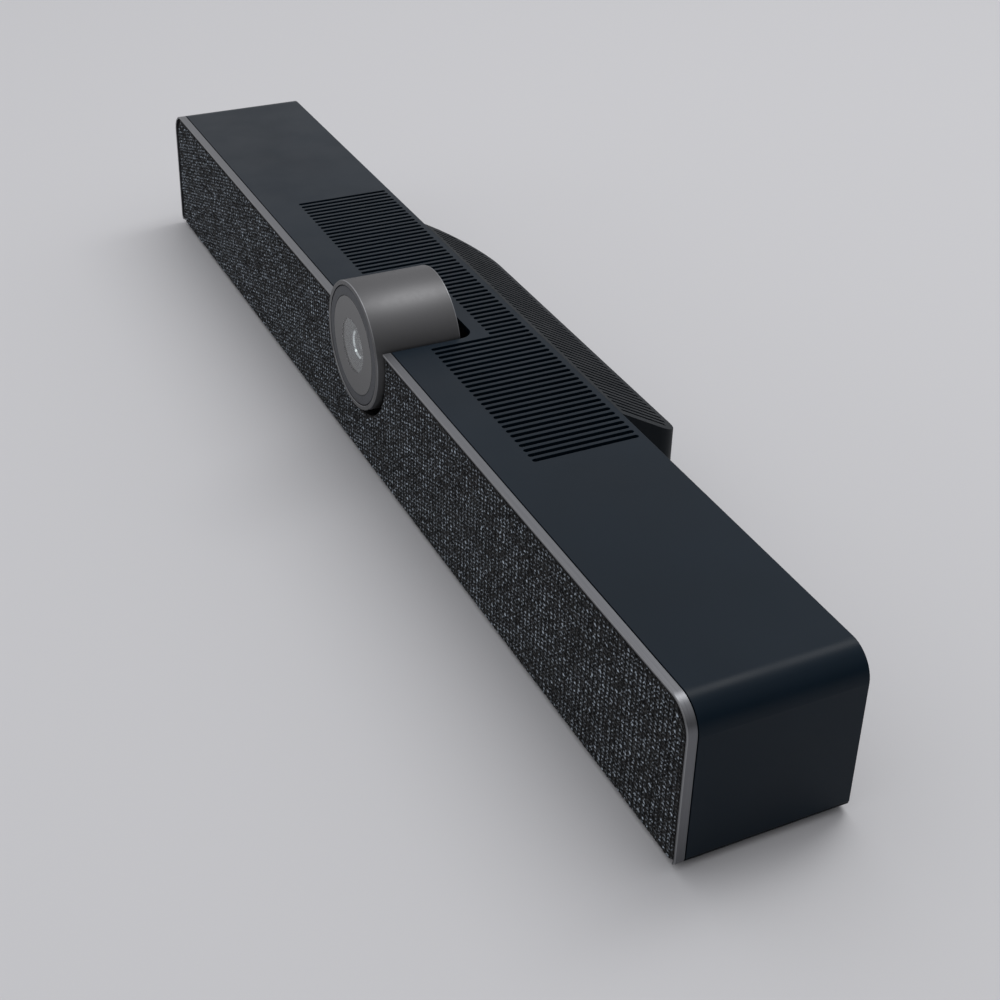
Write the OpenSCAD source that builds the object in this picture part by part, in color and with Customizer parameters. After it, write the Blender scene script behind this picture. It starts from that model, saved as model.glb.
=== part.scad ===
// Conference camera bar: a long speaker bar with a round camera barrel let into its top.
// X runs along the bar, the fabric front faces -Y, and the feet stand on Z = 0.
// Depths are counted from the joint line between the front frame and the housing.

/* [Casing] */
// Width of the bar over its ends
body_w = 438; // [432:1:460]
// Height of the bar without its feet
body_h = 52; // [50:0.5:58]
// Depth of the housing behind the front frame
body_d = 51; // [50:0.5:56]
// Wall of the housing and of the rear cover
wall_t = 2.2; // [1.8:0.1:2.6]
// Radius of the two upper long corners
top_r = 9; // [6:0.5:12]
// Radius of the two lower long corners
low_r = 3; // [2.4:0.1:4]
// Thickness of the bottom cover
base_t = 3; // [2.6:0.1:4]
// Height of the bottom cover's edge that shows under the end walls
base_edge = 2.2; // [1.6:0.1:2.4]
// Width of the joint lines that show between the casing parts
seam_gap = 0.3; // [0.2:0.05:0.4]
// Clearance between fixed parts that nest
fit_gap = 0.2; // [0.1:0.05:0.3]

/* [Front] */
// Depth of the metal front frame
frame_d = 3; // [2.6:0.1:4]
// Face width of the metal front frame
frame_t = 1.6; // [1.2:0.1:2]
// Thickness of the stretched fabric
fabric_t = 0.6; // [0.4:0.1:0.8]
// Depth of the fabric behind the face of the front frame
fabric_step = 0.4; // [0.2:0.1:0.8]
// Depth of the baffle's rim inside the housing's mouth
baffle_rim_d = 2.6; // [2:0.1:2.8]
// Thickness of the baffle's rim
baffle_rim_t = 1.8; // [1.4:0.1:2]
// Width of one sound slot in the baffle
sound_slot_w = 2.4; // [1.6:0.1:3]
// Pitch of the sound slots
sound_pitch = 5; // [4.5:0.1:6]
// Height of the sound slots, as a share of the bar's height
sound_slot_share = 0.5385; // [0.4:0.01:0.6]
// Number of sound slots on each side
sound_slots = 15; // [9:2:17]

/* [Top vents] */
// Pitch of the vent slots along the bar
vent_pitch = 3; // [2.8:0.1:3.2]
// Width of a vent slot
vent_w = 1.7; // [1.2:0.1:1.9]
// Number of vent slots on each side of the middle one
vents_per_side = 34; // [20:1:34]
// Depth at which the long vent slots start
vent_front = 12.8; // [12:0.2:16]
// Land left between the vent slots and the rear edge
vent_rear_land = 1.8; // [1.4:0.1:3]
// Land left between the camera slot and the vents around it
vent_camera_land = 4.9; // [3:0.1:6]

/* [Camera barrel] */
// Outer radius of the camera barrel
barrel_r = 22.8; // [21:0.1:23.4]
// Wall of the camera barrel
barrel_t = 1.6; // [1.2:0.1:1.8]
// Length of the camera barrel
barrel_len = 31; // [30:0.5:33]
// How far the barrel's face stands in front of the joint line
barrel_proud = 5; // [4.2:0.1:8]
// Depth of the barrel's axis under the top of the bar
axis_drop = 8; // [7.6:0.1:10]
// Depth of the tilt axis behind the joint line
tilt_depth = 12; // [11:0.2:13]
// Gap on each side of the barrel
side_gap = 0.7; // [0.6:0.05:0.9]
// Extra depth of the well under the barrel, which the tilt needs
well_drop = 1.9; // [1.8:0.1:3]
// Gap between the barrel and the rear end of its slot
rear_gap = 4.4; // [3:0.1:5]
// Radius of the rear corners of the camera slot
slot_r = 5; // [3:0.5:6]
// Edge chamfer of the barrel
barrel_chamfer = 0.5; // [0.3:0.1:0.8]
// Radius of the cover glass, as a share of the barrel's radius
glass_share = 0.7675; // [0.73:0.005:0.78]
// Thickness of the cover glass
glass_t = 1.3; // [1:0.1:1.4]
// Radius of the clear opening in the mask, as a share of the glass's radius
mask_open_share = 0.3543; // [0.32:0.005:0.4]
// Radius of the front lens, as a share of the glass's radius
lens_share = 0.2971; // [0.27:0.002:0.305]
// Radius of the tilt pins
pin_r = 2.5; // [2:0.1:2.6]
// Running clearance of pins and shafts, on the radius
run_gap = 0.05; // [0.03:0.01:0.08]
// Thickness of the camera cradle
cradle_t = 2.4; // [2:0.1:2.8]
// Steepest tilt of the camera in degrees
tilt_reach = 10; // [8:1:11]

/* [Lens shutter] */
// Radius of the shutter disc, as a share of the glass's radius
shutter_share = 0.3371; // [0.315:0.002:0.342]
// Thickness of the shutter blade
shutter_t = 0.5; // [0.3:0.1:0.6]
// Distance from the shutter's pivot to the lens axis, as a share of the barrel's inside radius
shutter_arm_share = 0.57547; // [0.567:0.002:0.583]
// Angle that the shutter swings from open to closed
shutter_swing = 70; // [68:1:71]

/* [Rear housing] */
// Depth of the rear hump behind the housing
hump_d = 23.5; // [22:0.5:28]
// Reach of the hump towards +X
hump_right = 88; // [86:1:96]
// Reach of the hump towards -X
hump_left = 67.5; // [66:0.5:80]
// Plan radius of the hump's corner at +X
hump_right_r = 8; // [6:0.5:9]
// Plan radius of the hump's corner at -X
hump_left_r = 20; // [16:0.5:20.5]
// Fall of the hump's roof in degrees
roof_fall = 30; // [26:1:32]
// Height of the hump's underside over the bottom of the bar
hump_lift = 5; // [3:0.5:5.4]
// Width of a vent slot in the hump's roof
roof_vent_w = 1.3; // [0.8:0.1:1.6]

/* [Speakers] */
// Distance of each speaker box from the middle of the bar
speaker_inner = 81; // [80.5:0.5:90]
// Gap between each speaker box and the end wall
speaker_end_gap = 13.8; // [13:0.2:20]
// Gap between each speaker box and the rear screw bosses
speaker_rear_gap = 3.4; // [2.9:0.1:8]
// Wall of a speaker box
speaker_wall = 2; // [1.6:0.1:2.4]
// Side of the driver's square flange, as a share of the speaker box's height
driver_share = 0.7366; // [0.715:0.005:0.755]
// Radius of the driver's cone, as a share of the flange's side
cone_share = 0.3636; // [0.335:0.005:0.375]
// Travel of the cone each way
cone_travel = 0.8; // [0.4:0.1:0.9]
// Radius of the driver's magnet, as a share of the flange's side
magnet_share = 0.3485; // [0.31:0.005:0.375]

/* [Electronics] */
// Thickness of the circuit boards
board_t = 1.6; // [1:0.1:1.8]
// Height of the main board's underside over the bottom cover
board_lift = 5; // [4.6:0.1:5.4]
// Side of the processor package, as a share of the board's depth in front of the sockets
chip_share = 0.81; // [0.68:0.01:0.86]
// Pitch of the heat sink's fins
fin_pitch = 5; // [4.5:0.1:6]
// Thickness of a fin
fin_t = 1.2; // [0.8:0.1:1.6]
// Number of microphones
mic_count = 8; // [4:2:8]
// Spacing of the microphones
mic_pitch = 40; // [36:1:48]

/* [Mounts and feet] */
// Height that the feet hold the bar off the table
foot_stand = 1.2; // [0.8:0.1:2]
// Radius of a foot
foot_r = 7; // [5:0.5:8]
// Spacing of the bracket's threaded inserts along the bar
bracket_x = 100; // [96:1:104]
// Depth of the bracket's front inserts behind the joint line
bracket_front = 10; // [9.5:0.1:11]
// Distance of the bracket's rear inserts from the rear of the housing
bracket_rear = 11; // [10.5:0.1:12]
// Hole radius of a bracket insert, for an M4 thread
bracket_hole_r = 1.65; // [1.5:0.05:1.8]
// Hole radius of the tripod insert, for a 1/4 inch thread
tripod_hole_r = 2.6; // [2.4:0.05:2.8]
// Depth of all threaded inserts
insert_len = 6; // [5:0.2:6.4]
// Travel of the reset button
button_travel = 0.6; // [0.3:0.1:0.6]

/* [Hidden] */
$fn = 48;

// Overrun of every cut past the face it opens
cut = 1;

// Levels of the casing
z_low = foot_stand;
z_top = foot_stand + body_h;
z_edge = z_low + base_edge;
z_floor = z_low + base_t;
z_ceiling = z_top - wall_t;
half_w = body_w / 2;
half_in = half_w - wall_t;
frame_inner = frame_t + fit_gap;
y_rear = body_d + hump_d;
// The part's own frame has its origin under the middle of its bounding box
frame_y = (barrel_proud - y_rear) / 2;
frame_front = -seam_gap - frame_d;
fabric_front = frame_front + fabric_step;
baffle_front = fabric_front + fabric_t;

// Camera slot and well
z_axis = z_top - axis_drop;
well_half = barrel_r + side_gap;
z_well = z_axis - well_drop;
barrel_front = -barrel_proud;
barrel_back = barrel_len - barrel_proud;
slot_back = barrel_back + rear_gap;
cradle_half = well_half + cradle_t;
cradle_back = slot_back + cradle_t;
cradle_front = baffle_rim_d - baffle_rim_t;
cradle_leg = 6.4;
cradle_leg_y = [cradle_front + cradle_leg, slot_back - cradle_leg];
cradle_slot_w = 16;
cradle_slot_h = 4;
cradle_board_gap = 2.4;

// Camera inside, in order of depth behind the barrel's face
barrel_in = barrel_r - barrel_t;
glass_r = barrel_r * glass_share;
mask_open_r = glass_r * mask_open_share;
lens_r = glass_r * lens_share;
shutter_r = glass_r * shutter_share;
shutter_arm = barrel_in * shutter_arm_share;
ring_gap = 0.25;
ring_recess = 0.15;
ring_t = 1.8;
ring_lip = 0.5;
ring_front = barrel_front + ring_recess;
ring_back = ring_front + ring_t;
glass_back = ring_front + glass_t;
mask_t = 0.3;
mask_back = glass_back + mask_t;
shutter_gap = 0.4;
shutter_front = mask_back + shutter_gap;
shutter_back = shutter_front + shutter_t;
carrier_front = shutter_back + shutter_gap;
carrier_t = 1.2;
carrier_back = carrier_front + carrier_t;
carrier_rim_t = 0.7;
holder_wall = 2.2;
holder_lip = 1.6;
holder_r = lens_r + holder_wall;
holder_wide_r = holder_r + holder_lip;
holder_step = 4;
sensor_front = 10.2;
sensor_t = 1;
sensor_w = 9;
camera_board_share = 1.179;
camera_board_w = barrel_in * camera_board_share;
camera_board_front = sensor_front + sensor_t;
camera_board_back = camera_board_front + board_t;
post_r = 1.8;
post_inset = 2.3;
post_at = camera_board_w / 2 - post_inset;
lens_recess = 0.9;
lens_t = 2.6;
lens_dome_r = 9;
lens_ring_t = 0.8;
retainer_recess = 0.1;
rear_group_t = 5;
shutter_hub_r = 2.2;
shutter_shaft_r = 0.85;
motor_w = 7;
motor_h = 9;
motor_d = 8;
camera_plug_t = 1.3;
camera_plug_w = 10;
camera_plug_h = 3;
cap_t = 1.6;
cap_recess = 0.4;
pin_flange_r = 5;
pin_flange_gap = 0.2;
bush_t = 1.1;
bush_lip_t = 1;
ribbon_t = 0.3;
ribbon_w = 12;
ribbon_plug_gap = 0.5;
ribbon_plug_h = 2;
ribbon_plug_d = 5;
ribbon_clear = 1.2;
ribbon_back = cradle_back + ribbon_clear + ribbon_t;
cap_slot_h = 2 * ((barrel_back - tilt_depth) * sin(tilt_reach) + side_gap);

// Fixings of the casing
pillar_r = 3.5;
pillar_inset = 5.3;
pillar_mid = 67;
pillar_x = [pillar_inset - half_in, -pillar_mid, pillar_mid, half_in - pillar_inset];
pillar_y = [6.4, body_d - wall_t - pillar_inset];
base_head_r = 2.7;
base_head_t = 1.4;
base_screw_len = 9;
screw_gap = 0.1;
rear_boss_r = 3.2;
rear_boss_len = 8;
rear_boss_inset = 10.8;
rear_boss_mid = 116;
rear_boss_x = [rear_boss_inset - half_in, -rear_boss_mid, rear_boss_mid, half_in - rear_boss_inset];
foot_inset = 31;
foot_x = half_w - foot_inset;
foot_edge = 10;
foot_y = [foot_edge, body_d - foot_edge];
foot_sink = 0.8;
foot_gap = 0.1;
insert_wall = 1.25;
insert_boss_t = 1.9;
tripod_y = 30;
cap_over_insert = 0.8;

// Main board and what it carries
z_board = z_floor + board_lift;
z_chips = z_board + board_t;
board_front = 28.4;
board_wide_x = [-60, 80];
board_narrow_x = [-46.5, 76];
board_step = 14;
board_step_y = y_rear - wall_t - board_step;
board_back = y_rear - wall_t - 2 * fit_gap;
board_screw_x = [-56, 67];
standoff_r = 3;
board_screw_inset = 0.6;
board_screw_y = [board_front + standoff_r, body_d - wall_t - standoff_r - board_screw_inset];
screw_r = 1.2;
screw_head_r = 2.5;
screw_head_t = 1.4;
screw_pilot_len = 8;
chip_x = 36;
chip_t = 1.4;
pad_t = 0.8;
memory_x = [14, 58];
memory_size = [10, 14, 1.1];
shield_x = -30;
shield_size = [26, 16, 3];
shield_wall = 0.4;
sink_x = [-55, 81];
sink_ribbon_gap = 2.7;
sink_front = ribbon_back + sink_ribbon_gap;
sink_plate_t = 2.5;
sink_leg_x = [-49, 77.5];
sink_leg_r = 2.2;
sink_leg_inset = 3.6;
sink_leg_y = [sink_front + sink_leg_r, board_step_y - sink_leg_r - sink_leg_inset];
sink_clear = 1;
sink_back = y_rear - wall_t - hump_right_r / 2;

// Sockets on the rear wall of the hump, each with its middle at its own X
port_recess = 0.6;
port_face = y_rear - port_recess;
port_clear = 0.3;
jack_x = 68;
jack_size = [9, 13, 11];
jack_hole_r = 2.75;
jack_pin_r = 1;
jack_depth = 9.5;
hdmi_x = 50;
hdmi_size = [15, 11.5, 6.2];
ethernet_x = 28;
ethernet_size = [16, 16, 13.4];
ethernet_hole = [11.8, 13, 8];
chip_room = port_face - ethernet_size[1] - board_front;
chip_y = board_front + chip_room / 2;
chip_w = chip_room * chip_share;
usb_a_x = [7, -11];
usb_a_size = [14.4, 14, 7];
usb_c_x = -27;
usb_c_size = [9, 7.5, 3.3];
shell_t = 0.5;
tongue_t = 1.4;
tongue_in = 2;
button_x = -41;
button_r = 2.2;
button_recess = 0.2;
button_collar_t = 1;
button_collar_r = 3.2;
button_stem = 2.5;
z_button = z_chips + 4;
switch_size = [6.4, 5, 7];
switch_gap = 0.1;
lock_inset = 69;
lock_x = lock_inset - half_w;
lock_z = 24;
lock_w = 7.2;
lock_h = 3.2;
lock_plate = [20, 1, 14];

// Microphones under the front edge of the bar
mic_board_h = 5;
mic_z = z_floor + baffle_rim_t + 2 * fit_gap + mic_board_h / 2;
mic_gasket_r = 2.4;
mic_gasket_t = 0.8;
mic_board_t = 1;
mic_size = [4, 1.1, 3];
mic_hole_r = 0.6;

// Drivers
driver_rise_share = 0.55;
driver_z = z_low + body_h * driver_rise_share;
sound_slot_h = body_h * sound_slot_share;
speaker_outer = half_in - speaker_end_gap;
speaker_x = (speaker_inner + speaker_outer) / 2;
speaker_half_w = (speaker_outer - speaker_inner) / 2;
box_gap = 0.8;
box_front = baffle_rim_d + box_gap;
box_back = body_d - wall_t - rear_boss_len - speaker_rear_gap;
box_top_gap = 2;
box_top = z_ceiling - box_top_gap;
driver_side = (box_top - z_floor) * driver_share;
cone_r = driver_side * cone_share;
magnet_r = driver_side * magnet_share;
flange_t = 1.8;
flange_front = box_front - flange_t;
basket_depth = 12;
basket_t = 1;
cup_r = cone_r + 0.9 * basket_t;
surround_w = 2.4;
surround_t = 0.5;
surround_gap = 0.3;
surround_seat = 0.8;
coil_r = 6;
coil_t = 0.4;
coil_gap = 0.35;
coil_len = 4;
cone_depth = 5;
cone_t = 0.6;
coil_room = 1.2;
magnet_plate_t = 3;
magnet_t = coil_len + cone_travel + coil_room + magnet_plate_t;
driver_screw_r = 0.9;
driver_head_r = 1.5;
driver_screw_at = driver_side / 2 - 1.7 * driver_head_r;
driver_head_t = 0.5;
driver_screw_len = 4;
driver_screw_gap = 0.1;

// Shapes that repeat

module box(x, y, z) {
  translate([x[0], y[0], z[0]]) cube([x[1] - x[0], y[1] - y[0], z[1] - z[0]]);
}
module rod_x(r, span, y, z) {
  translate([span[0], y, z]) rotate([0, 90, 0]) cylinder(r = r, h = span[1] - span[0]);
}
module rod_y(r, span, x, z) {
  translate([x, span[0], z]) rotate([-90, 0, 0]) cylinder(r = r, h = span[1] - span[0]);
}
module rod_z(r, span, x, y) {
  translate([x, y, span[0]]) cylinder(r = r, h = span[1] - span[0]);
}
// Upright outline in X and Z, extruded along Y
module along_y(span) {
  translate([0, span[1], 0]) rotate([90, 0, 0]) linear_extrude(height = span[1] - span[0]) children();
}
// Outline in Y and Z, extruded along X
module along_x(span) {
  translate([span[0], 0, 0]) rotate([90, 0, 90]) linear_extrude(height = span[1] - span[0]) children();
}
// Outline in radius and depth, turned about the barrel's axis direction
module turned(x, z) {
  translate([x, 0, z]) rotate([-90, 0, 0]) rotate_extrude() children();
}
module part_frame() {
  translate([0, frame_y, 0]) children();
}
// Rectangle with one radius for its upper corners and one for its lower corners
module panel(inset) {
  r_up = top_r - inset;
  r_lo = max(low_r - inset, seam_gap);
  w = body_w - 2 * inset;
  z0 = z_low + inset;
  z1 = z_top - inset;
  translate([-w / 2, z0 + r_lo]) square([w, z1 - z0 - r_up - r_lo]);
  translate([r_up - w / 2, z0 + r_lo]) square([w - 2 * r_up, z1 - z0 - r_lo]);
  translate([r_lo - w / 2, z0]) square([w - 2 * r_lo, z1 - z0 - r_up]);
  for (side = [-1, 1]) {
    translate([side * (w / 2 - r_up), z1 - r_up]) circle(r_up);
    translate([side * (w / 2 - r_lo), z0 + r_lo]) circle(r_lo);
  }
}
// The room inside the end walls and the top of the housing, from a level up
module room(inset, level) {
  intersection() {
    panel(wall_t + inset);
    translate([-half_w, level]) square([body_w, z_top - level]);
  }
}
// U-shaped opening around the barrel, open at the top
module well_cut(span) {
  rod_y(well_half, span, 0, z_well);
  box([-well_half, well_half], span, [z_well, z_top + cut]);
}
// Slot with round ends, running along Y
module vent(x, w, span, z) {
  box([x - w / 2, x + w / 2], [span[0] + w / 2, span[1] - w / 2], z);
  for (y = [span[0] + w / 2, span[1] - w / 2]) rod_z(w / 2, z, x, y);
}
module screw_z(x, y, z_head, head_r, head_t, r, length, way) {
  // way is +1 for a screw that points up from its head, and -1 for one that points down
  rod_z(head_r, way > 0 ? [z_head, z_head + head_t] : [z_head - head_t, z_head], x, y);
  rod_z(r, way > 0 ? [z_head, z_head + length] : [z_head - length, z_head], x, y);
}
module screw_y(x, z, y_head, head_r, head_t, r, length, way) {
  rod_y(head_r, way > 0 ? [y_head, y_head + head_t] : [y_head - head_t, y_head], x, z);
  rod_y(r, way > 0 ? [y_head, y_head + length] : [y_head - length, y_head], x, z);
}

// Places that several parts share

function base_screw_places() = [
  for (x = pillar_x) for (y = pillar_y) if (y == pillar_y[0] || abs(x) > half_w / 2) [x, y]];
function cradle_leg_places() = [
  for (s = [-1, 1]) for (y = cradle_leg_y) [s * (cradle_half - cradle_leg / 2), y]];
function board_screw_places() = [for (x = board_screw_x) for (y = board_screw_y) [x, y]];
function foot_places() = [for (s = [-1, 1]) for (y = foot_y) [s * foot_x, y]];
function bracket_places() = [
  for (s = [-1, 1]) for (y = [bracket_front, body_d - bracket_rear]) [s * bracket_x / 2, y]];
function mic_places() = [for (i = [0 : mic_count - 1]) (i - (mic_count - 1) / 2) * mic_pitch];
function driver_screw_places() = [
  for (s = [-1, 1]) for (u = [-1, 1]) for (v = [-1, 1])
    [s * speaker_x + u * driver_screw_at, driver_z + v * driver_screw_at]];

// Casing

module camera_slot() {
  z = [z_axis, z_top + cut];
  box([-well_half, well_half], [-cut, slot_back - slot_r], z);
  box([slot_r - well_half, well_half - slot_r], [-cut, slot_back], z);
  for (s = [-1, 1]) rod_z(slot_r, z, s * (well_half - slot_r), slot_back - slot_r);
}
module top_vents() {
  near_camera = floor((well_half + vent_w) / vent_pitch);
  for (i = [-vents_per_side : vents_per_side]) {
    start = abs(i) <= near_camera ? slot_back + vent_camera_land : vent_front;
    vent(i * vent_pitch, vent_w, [start, body_d - vent_rear_land], [z_ceiling - cut, z_top + cut]);
  }
}
module housing() {
  color("#2c333a") part_frame() difference() {
    union() {
      difference() {
        along_y([0, body_d]) intersection() {
          panel(0);
          translate([-half_w, z_edge + seam_gap]) square([body_w, body_h]);
        }
        along_y([-cut, body_d + cut]) room(0, z_low + wall_t);
        box([-half_in, half_in], [-cut, body_d + cut], [z_low, z_floor + low_r]);
      }
      intersection() {
        along_y([0, body_d]) panel(0);
        union() {
          for (p = base_screw_places()) rod_z(pillar_r, [z_floor, z_top], p[0], p[1]);
          for (x = rear_boss_x) {
            y_end = body_d - wall_t - fit_gap;
            rod_y(rear_boss_r, [y_end - rear_boss_len, y_end], x, z_ceiling - rear_boss_r);
            box([x - rear_boss_r, x + rear_boss_r], [y_end - rear_boss_len, y_end],
              [z_ceiling - rear_boss_r, z_top - wall_t / 2]);
          }
        }
      }
    }
    camera_slot();
    top_vents();
    for (p = base_screw_places()) rod_z(screw_r + screw_gap, [z_low, z_floor + base_screw_len], p[0], p[1]);
    for (x = rear_boss_x)
      rod_y(screw_r + screw_gap, [body_d - wall_t - rear_boss_len, body_d], x, z_ceiling - rear_boss_r);
  }
}
module bottom_cover() {
  insert_r = bracket_hole_r + insert_wall;
  tripod_r = tripod_hole_r + insert_wall;
  z_insert = [z_low - cut, z_low + insert_len];
  color("#14181c") part_frame() difference() {
    union() {
      along_y([0, body_d]) intersection() {
        panel(0);
        translate([-half_w, z_low]) square([body_w, base_edge]);
      }
      box([fit_gap - half_in, half_in - fit_gap], [0, body_d], [z_low + base_edge / 2, z_floor]);
      for (p = board_screw_places()) rod_z(standoff_r, [z_low + base_edge / 2, z_board], p[0], p[1]);
      for (p = bracket_places())
        rod_z(insert_r + insert_boss_t, [z_low + base_edge / 2, z_low + insert_len + cap_over_insert],
          p[0], p[1]);
      rod_z(tripod_r + insert_boss_t, [z_low + base_edge / 2, z_low + insert_len + cap_over_insert],
        0, tripod_y);
    }
    for (p = foot_places()) rod_z(foot_r + foot_gap, [z_low - cut, z_low + foot_sink], p[0], p[1]);
    for (p = concat(base_screw_places(), cradle_leg_places())) {
      rod_z(base_head_r + screw_gap, [z_low - cut, z_low + base_head_t], p[0], p[1]);
      rod_z(screw_r + screw_gap, [z_low - cut, z_floor + cut], p[0], p[1]);
    }
    for (p = board_screw_places())
      rod_z(screw_r + screw_gap, [z_floor, z_board + cut], p[0], p[1]);
    for (p = bracket_places()) rod_z(insert_r, z_insert, p[0], p[1]);
    rod_z(tripod_r, z_insert, 0, tripod_y);
  }
}
// Plan of the rear hump; the -X corner has the larger radius
module hump_plan(inset, start) {
  x0 = inset - hump_left;
  x1 = hump_right - inset;
  y1 = y_rear - inset;
  r0 = hump_left_r - inset;
  r1 = hump_right_r - inset;
  intersection() {
    union() {
      translate([x0, start]) square([x1 - x0, y1 - r0 - start]);
      translate([x0 + r0, start]) square([x1 - x0 - r0, y1 - r1 - start]);
      translate([x0 + r0, start]) square([x1 - x0 - r0 - r1, y1 - start]);
      translate([x0 + r0, y1 - r0]) circle(r0);
      translate([x1 - r1, y1 - r1]) circle(r1);
    }
    translate([x0, start]) square([x1 - x0, y1 - start]);
  }
}
// Depth of the hump's rear edge at a place along the bar
function hump_edge(x) = let(c0 = hump_left_r - hump_left, c1 = hump_right - hump_right_r)
  x < c0 ? y_rear - hump_left_r + sqrt(pow(hump_left_r, 2) - pow(c0 - x, 2)) :
  x > c1 ? y_rear - hump_right_r + sqrt(pow(hump_right_r, 2) - pow(x - c1, 2)) : y_rear;
// Everything above the hump's sloping roof, lowered by a given thickness
module above_roof(lowered) {
  translate([0, body_d + seam_gap, z_top - seam_gap - lowered / cos(roof_fall)])
    rotate([-roof_fall, 0, 0]) box([-half_w, half_w], [-hump_d, 2 * hump_d], [0, body_h]);
}
module roof_vents() {
  first = ceil((wall_t + roof_vent_w - hump_left) / vent_pitch);
  last = floor((hump_right - wall_t - roof_vent_w) / vent_pitch);
  translate([0, body_d + seam_gap, z_top - seam_gap]) rotate([-roof_fall, 0, 0])
    for (x = [first * vent_pitch : vent_pitch : last * vent_pitch]) {
      edge = min(hump_edge(x - roof_vent_w), hump_edge(x + roof_vent_w));
      run = (edge - wall_t - fit_gap - body_d - seam_gap) / cos(roof_fall);
      if (run > 2 * wall_t)
        box([x - roof_vent_w / 2, x + roof_vent_w / 2], [wall_t, run], [-wall_t - cut, cut]);
    }
}
module port_hole(x, size) {
  box([x - size[0] / 2 - port_clear, x + size[0] / 2 + port_clear], [y_rear - wall_t - cut, y_rear + cut],
    [z_chips - port_clear, z_chips + size[2] + port_clear]);
}
module rear_cover() {
  z_hump = z_low + hump_lift;
  color("#20262b") part_frame() difference() {
    union() {
      along_y([body_d - wall_t, body_d]) room(fit_gap, z_floor + fit_gap);
      difference() {
        union() {
          translate([0, 0, z_hump]) linear_extrude(height = z_ceiling - fit_gap - z_hump)
            hump_plan(0, body_d - wall_t / 2);
          translate([0, 0, z_axis]) linear_extrude(height = z_top - z_axis)
            hump_plan(0, body_d + seam_gap);
        }
        above_roof(0);
      }
    }
    difference() {
      translate([0, 0, z_hump + wall_t])
        linear_extrude(height = z_ceiling - 2 * wall_t - z_hump) hump_plan(wall_t, body_d - wall_t - cut);
      above_roof(wall_t);
    }
    roof_vents();
    for (x = rear_boss_x) {
      rod_y(screw_r + screw_gap, [body_d - wall_t - cut, body_d + cut], x, z_ceiling - rear_boss_r);
      rod_y(screw_head_r + screw_gap, [body_d - wall_t / 2, body_d + cut], x, z_ceiling - rear_boss_r);
    }
    port_hole(jack_x, jack_size);
    port_hole(hdmi_x, hdmi_size);
    port_hole(ethernet_x, ethernet_size);
    for (x = usb_a_x) port_hole(x, usb_a_size);
    port_hole(usb_c_x, usb_c_size);
    rod_y(button_r + run_gap, [y_rear - wall_t - cut, y_rear + cut], button_x, z_button);
    box([lock_x - lock_w / 2, lock_x + lock_w / 2], [body_d - wall_t - cut, body_d + cut],
      [lock_z - lock_h / 2, lock_z + lock_h / 2]);
  }
}
module front_bezel() {
  color("#7d7e80") part_frame() difference() {
    along_y([frame_front, -seam_gap]) difference() {
      panel(0);
      panel(frame_t);
    }
    well_cut([frame_front - cut, cut]);
  }
}
module grille_frame() {
  sound_z = [driver_z - sound_slot_h / 2, driver_z + sound_slot_h / 2];
  color("#0d0f11") part_frame() difference() {
    union() {
      along_y([baffle_front, 0]) panel(frame_inner);
      along_y([-seam_gap, 0]) panel(frame_t / 2);
      for (s = [-1, 1]) translate([s * (half_in - fit_gap - baffle_rim_t / 2), 0, 0])
        box([-baffle_rim_t / 2, baffle_rim_t / 2], [-seam_gap, baffle_rim_d],
          [z_floor + fit_gap, z_top - top_r]);
      box([fit_gap - half_in, half_in - fit_gap], [-seam_gap, baffle_rim_d],
        [z_floor + fit_gap, z_floor + fit_gap + baffle_rim_t]);
    }
    well_cut([baffle_front - cut, baffle_rim_d + cut]);
    for (s = [-1, 1]) for (i = [0 : sound_slots - 1]) {
      x = s * speaker_x + (i - (sound_slots - 1) / 2) * sound_pitch;
      box([x - sound_slot_w / 2, x + sound_slot_w / 2], [baffle_front - cut, cut], sound_z);
    }
    for (x = mic_places()) rod_y(mic_hole_r, [baffle_front - cut, cut], x, mic_z);
  }
}
module fabric_cover() {
  color("#2a2d30") part_frame() difference() {
    along_y([fabric_front, baffle_front]) panel(frame_inner);
    well_cut([fabric_front - cut, baffle_front + cut]);
  }
}

// Camera

module camera_cradle() {
  z_roof = z_ceiling - fit_gap;
  color("#101214") part_frame() difference() {
    union() {
      intersection() {
        rod_y(cradle_half, [cradle_front, cradle_back], 0, z_well);
        box([-cradle_half, cradle_half], [cradle_front, cradle_back], [z_chips + cradle_board_gap, z_roof]);
      }
      box([-cradle_half, cradle_half], [cradle_front, cradle_back], [z_well, z_roof]);
      for (p = cradle_leg_places()) box([p[0] - cradle_leg / 2, p[0] + cradle_leg / 2],
        [p[1] - cradle_leg / 2, p[1] + cradle_leg / 2], [z_floor, z_well]);
    }
    well_cut([cradle_front - cut, slot_back]);
    for (s = [-1, 1]) rod_x(pin_r + run_gap + bush_t, s > 0 ? [well_half - cut, cradle_half + cut] :
      [-cradle_half - cut, cut - well_half], tilt_depth, z_axis);
    box([-cradle_slot_w / 2, cradle_slot_w / 2], [slot_back - cut, cradle_back + cut],
      [z_axis - cradle_slot_h / 2, z_axis + cradle_slot_h / 2]);
    for (p = cradle_leg_places())
      rod_z(screw_r + screw_gap, [z_floor - cut, z_floor + screw_pilot_len], p[0], p[1]);
  }
}
module barrel_tube() {
  c = barrel_chamfer;
  color("#6d6e70") part_frame() difference() {
    turned(0, z_axis) polygon([[barrel_in, barrel_front], [barrel_r - c, barrel_front],
      [barrel_r, barrel_front + c], [barrel_r, barrel_back - c], [barrel_r - c, barrel_back],
      [barrel_in, barrel_back]]);
    rod_x(pin_r, [-barrel_r - cut, barrel_r + cut], tilt_depth, z_axis);
  }
}
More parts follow.
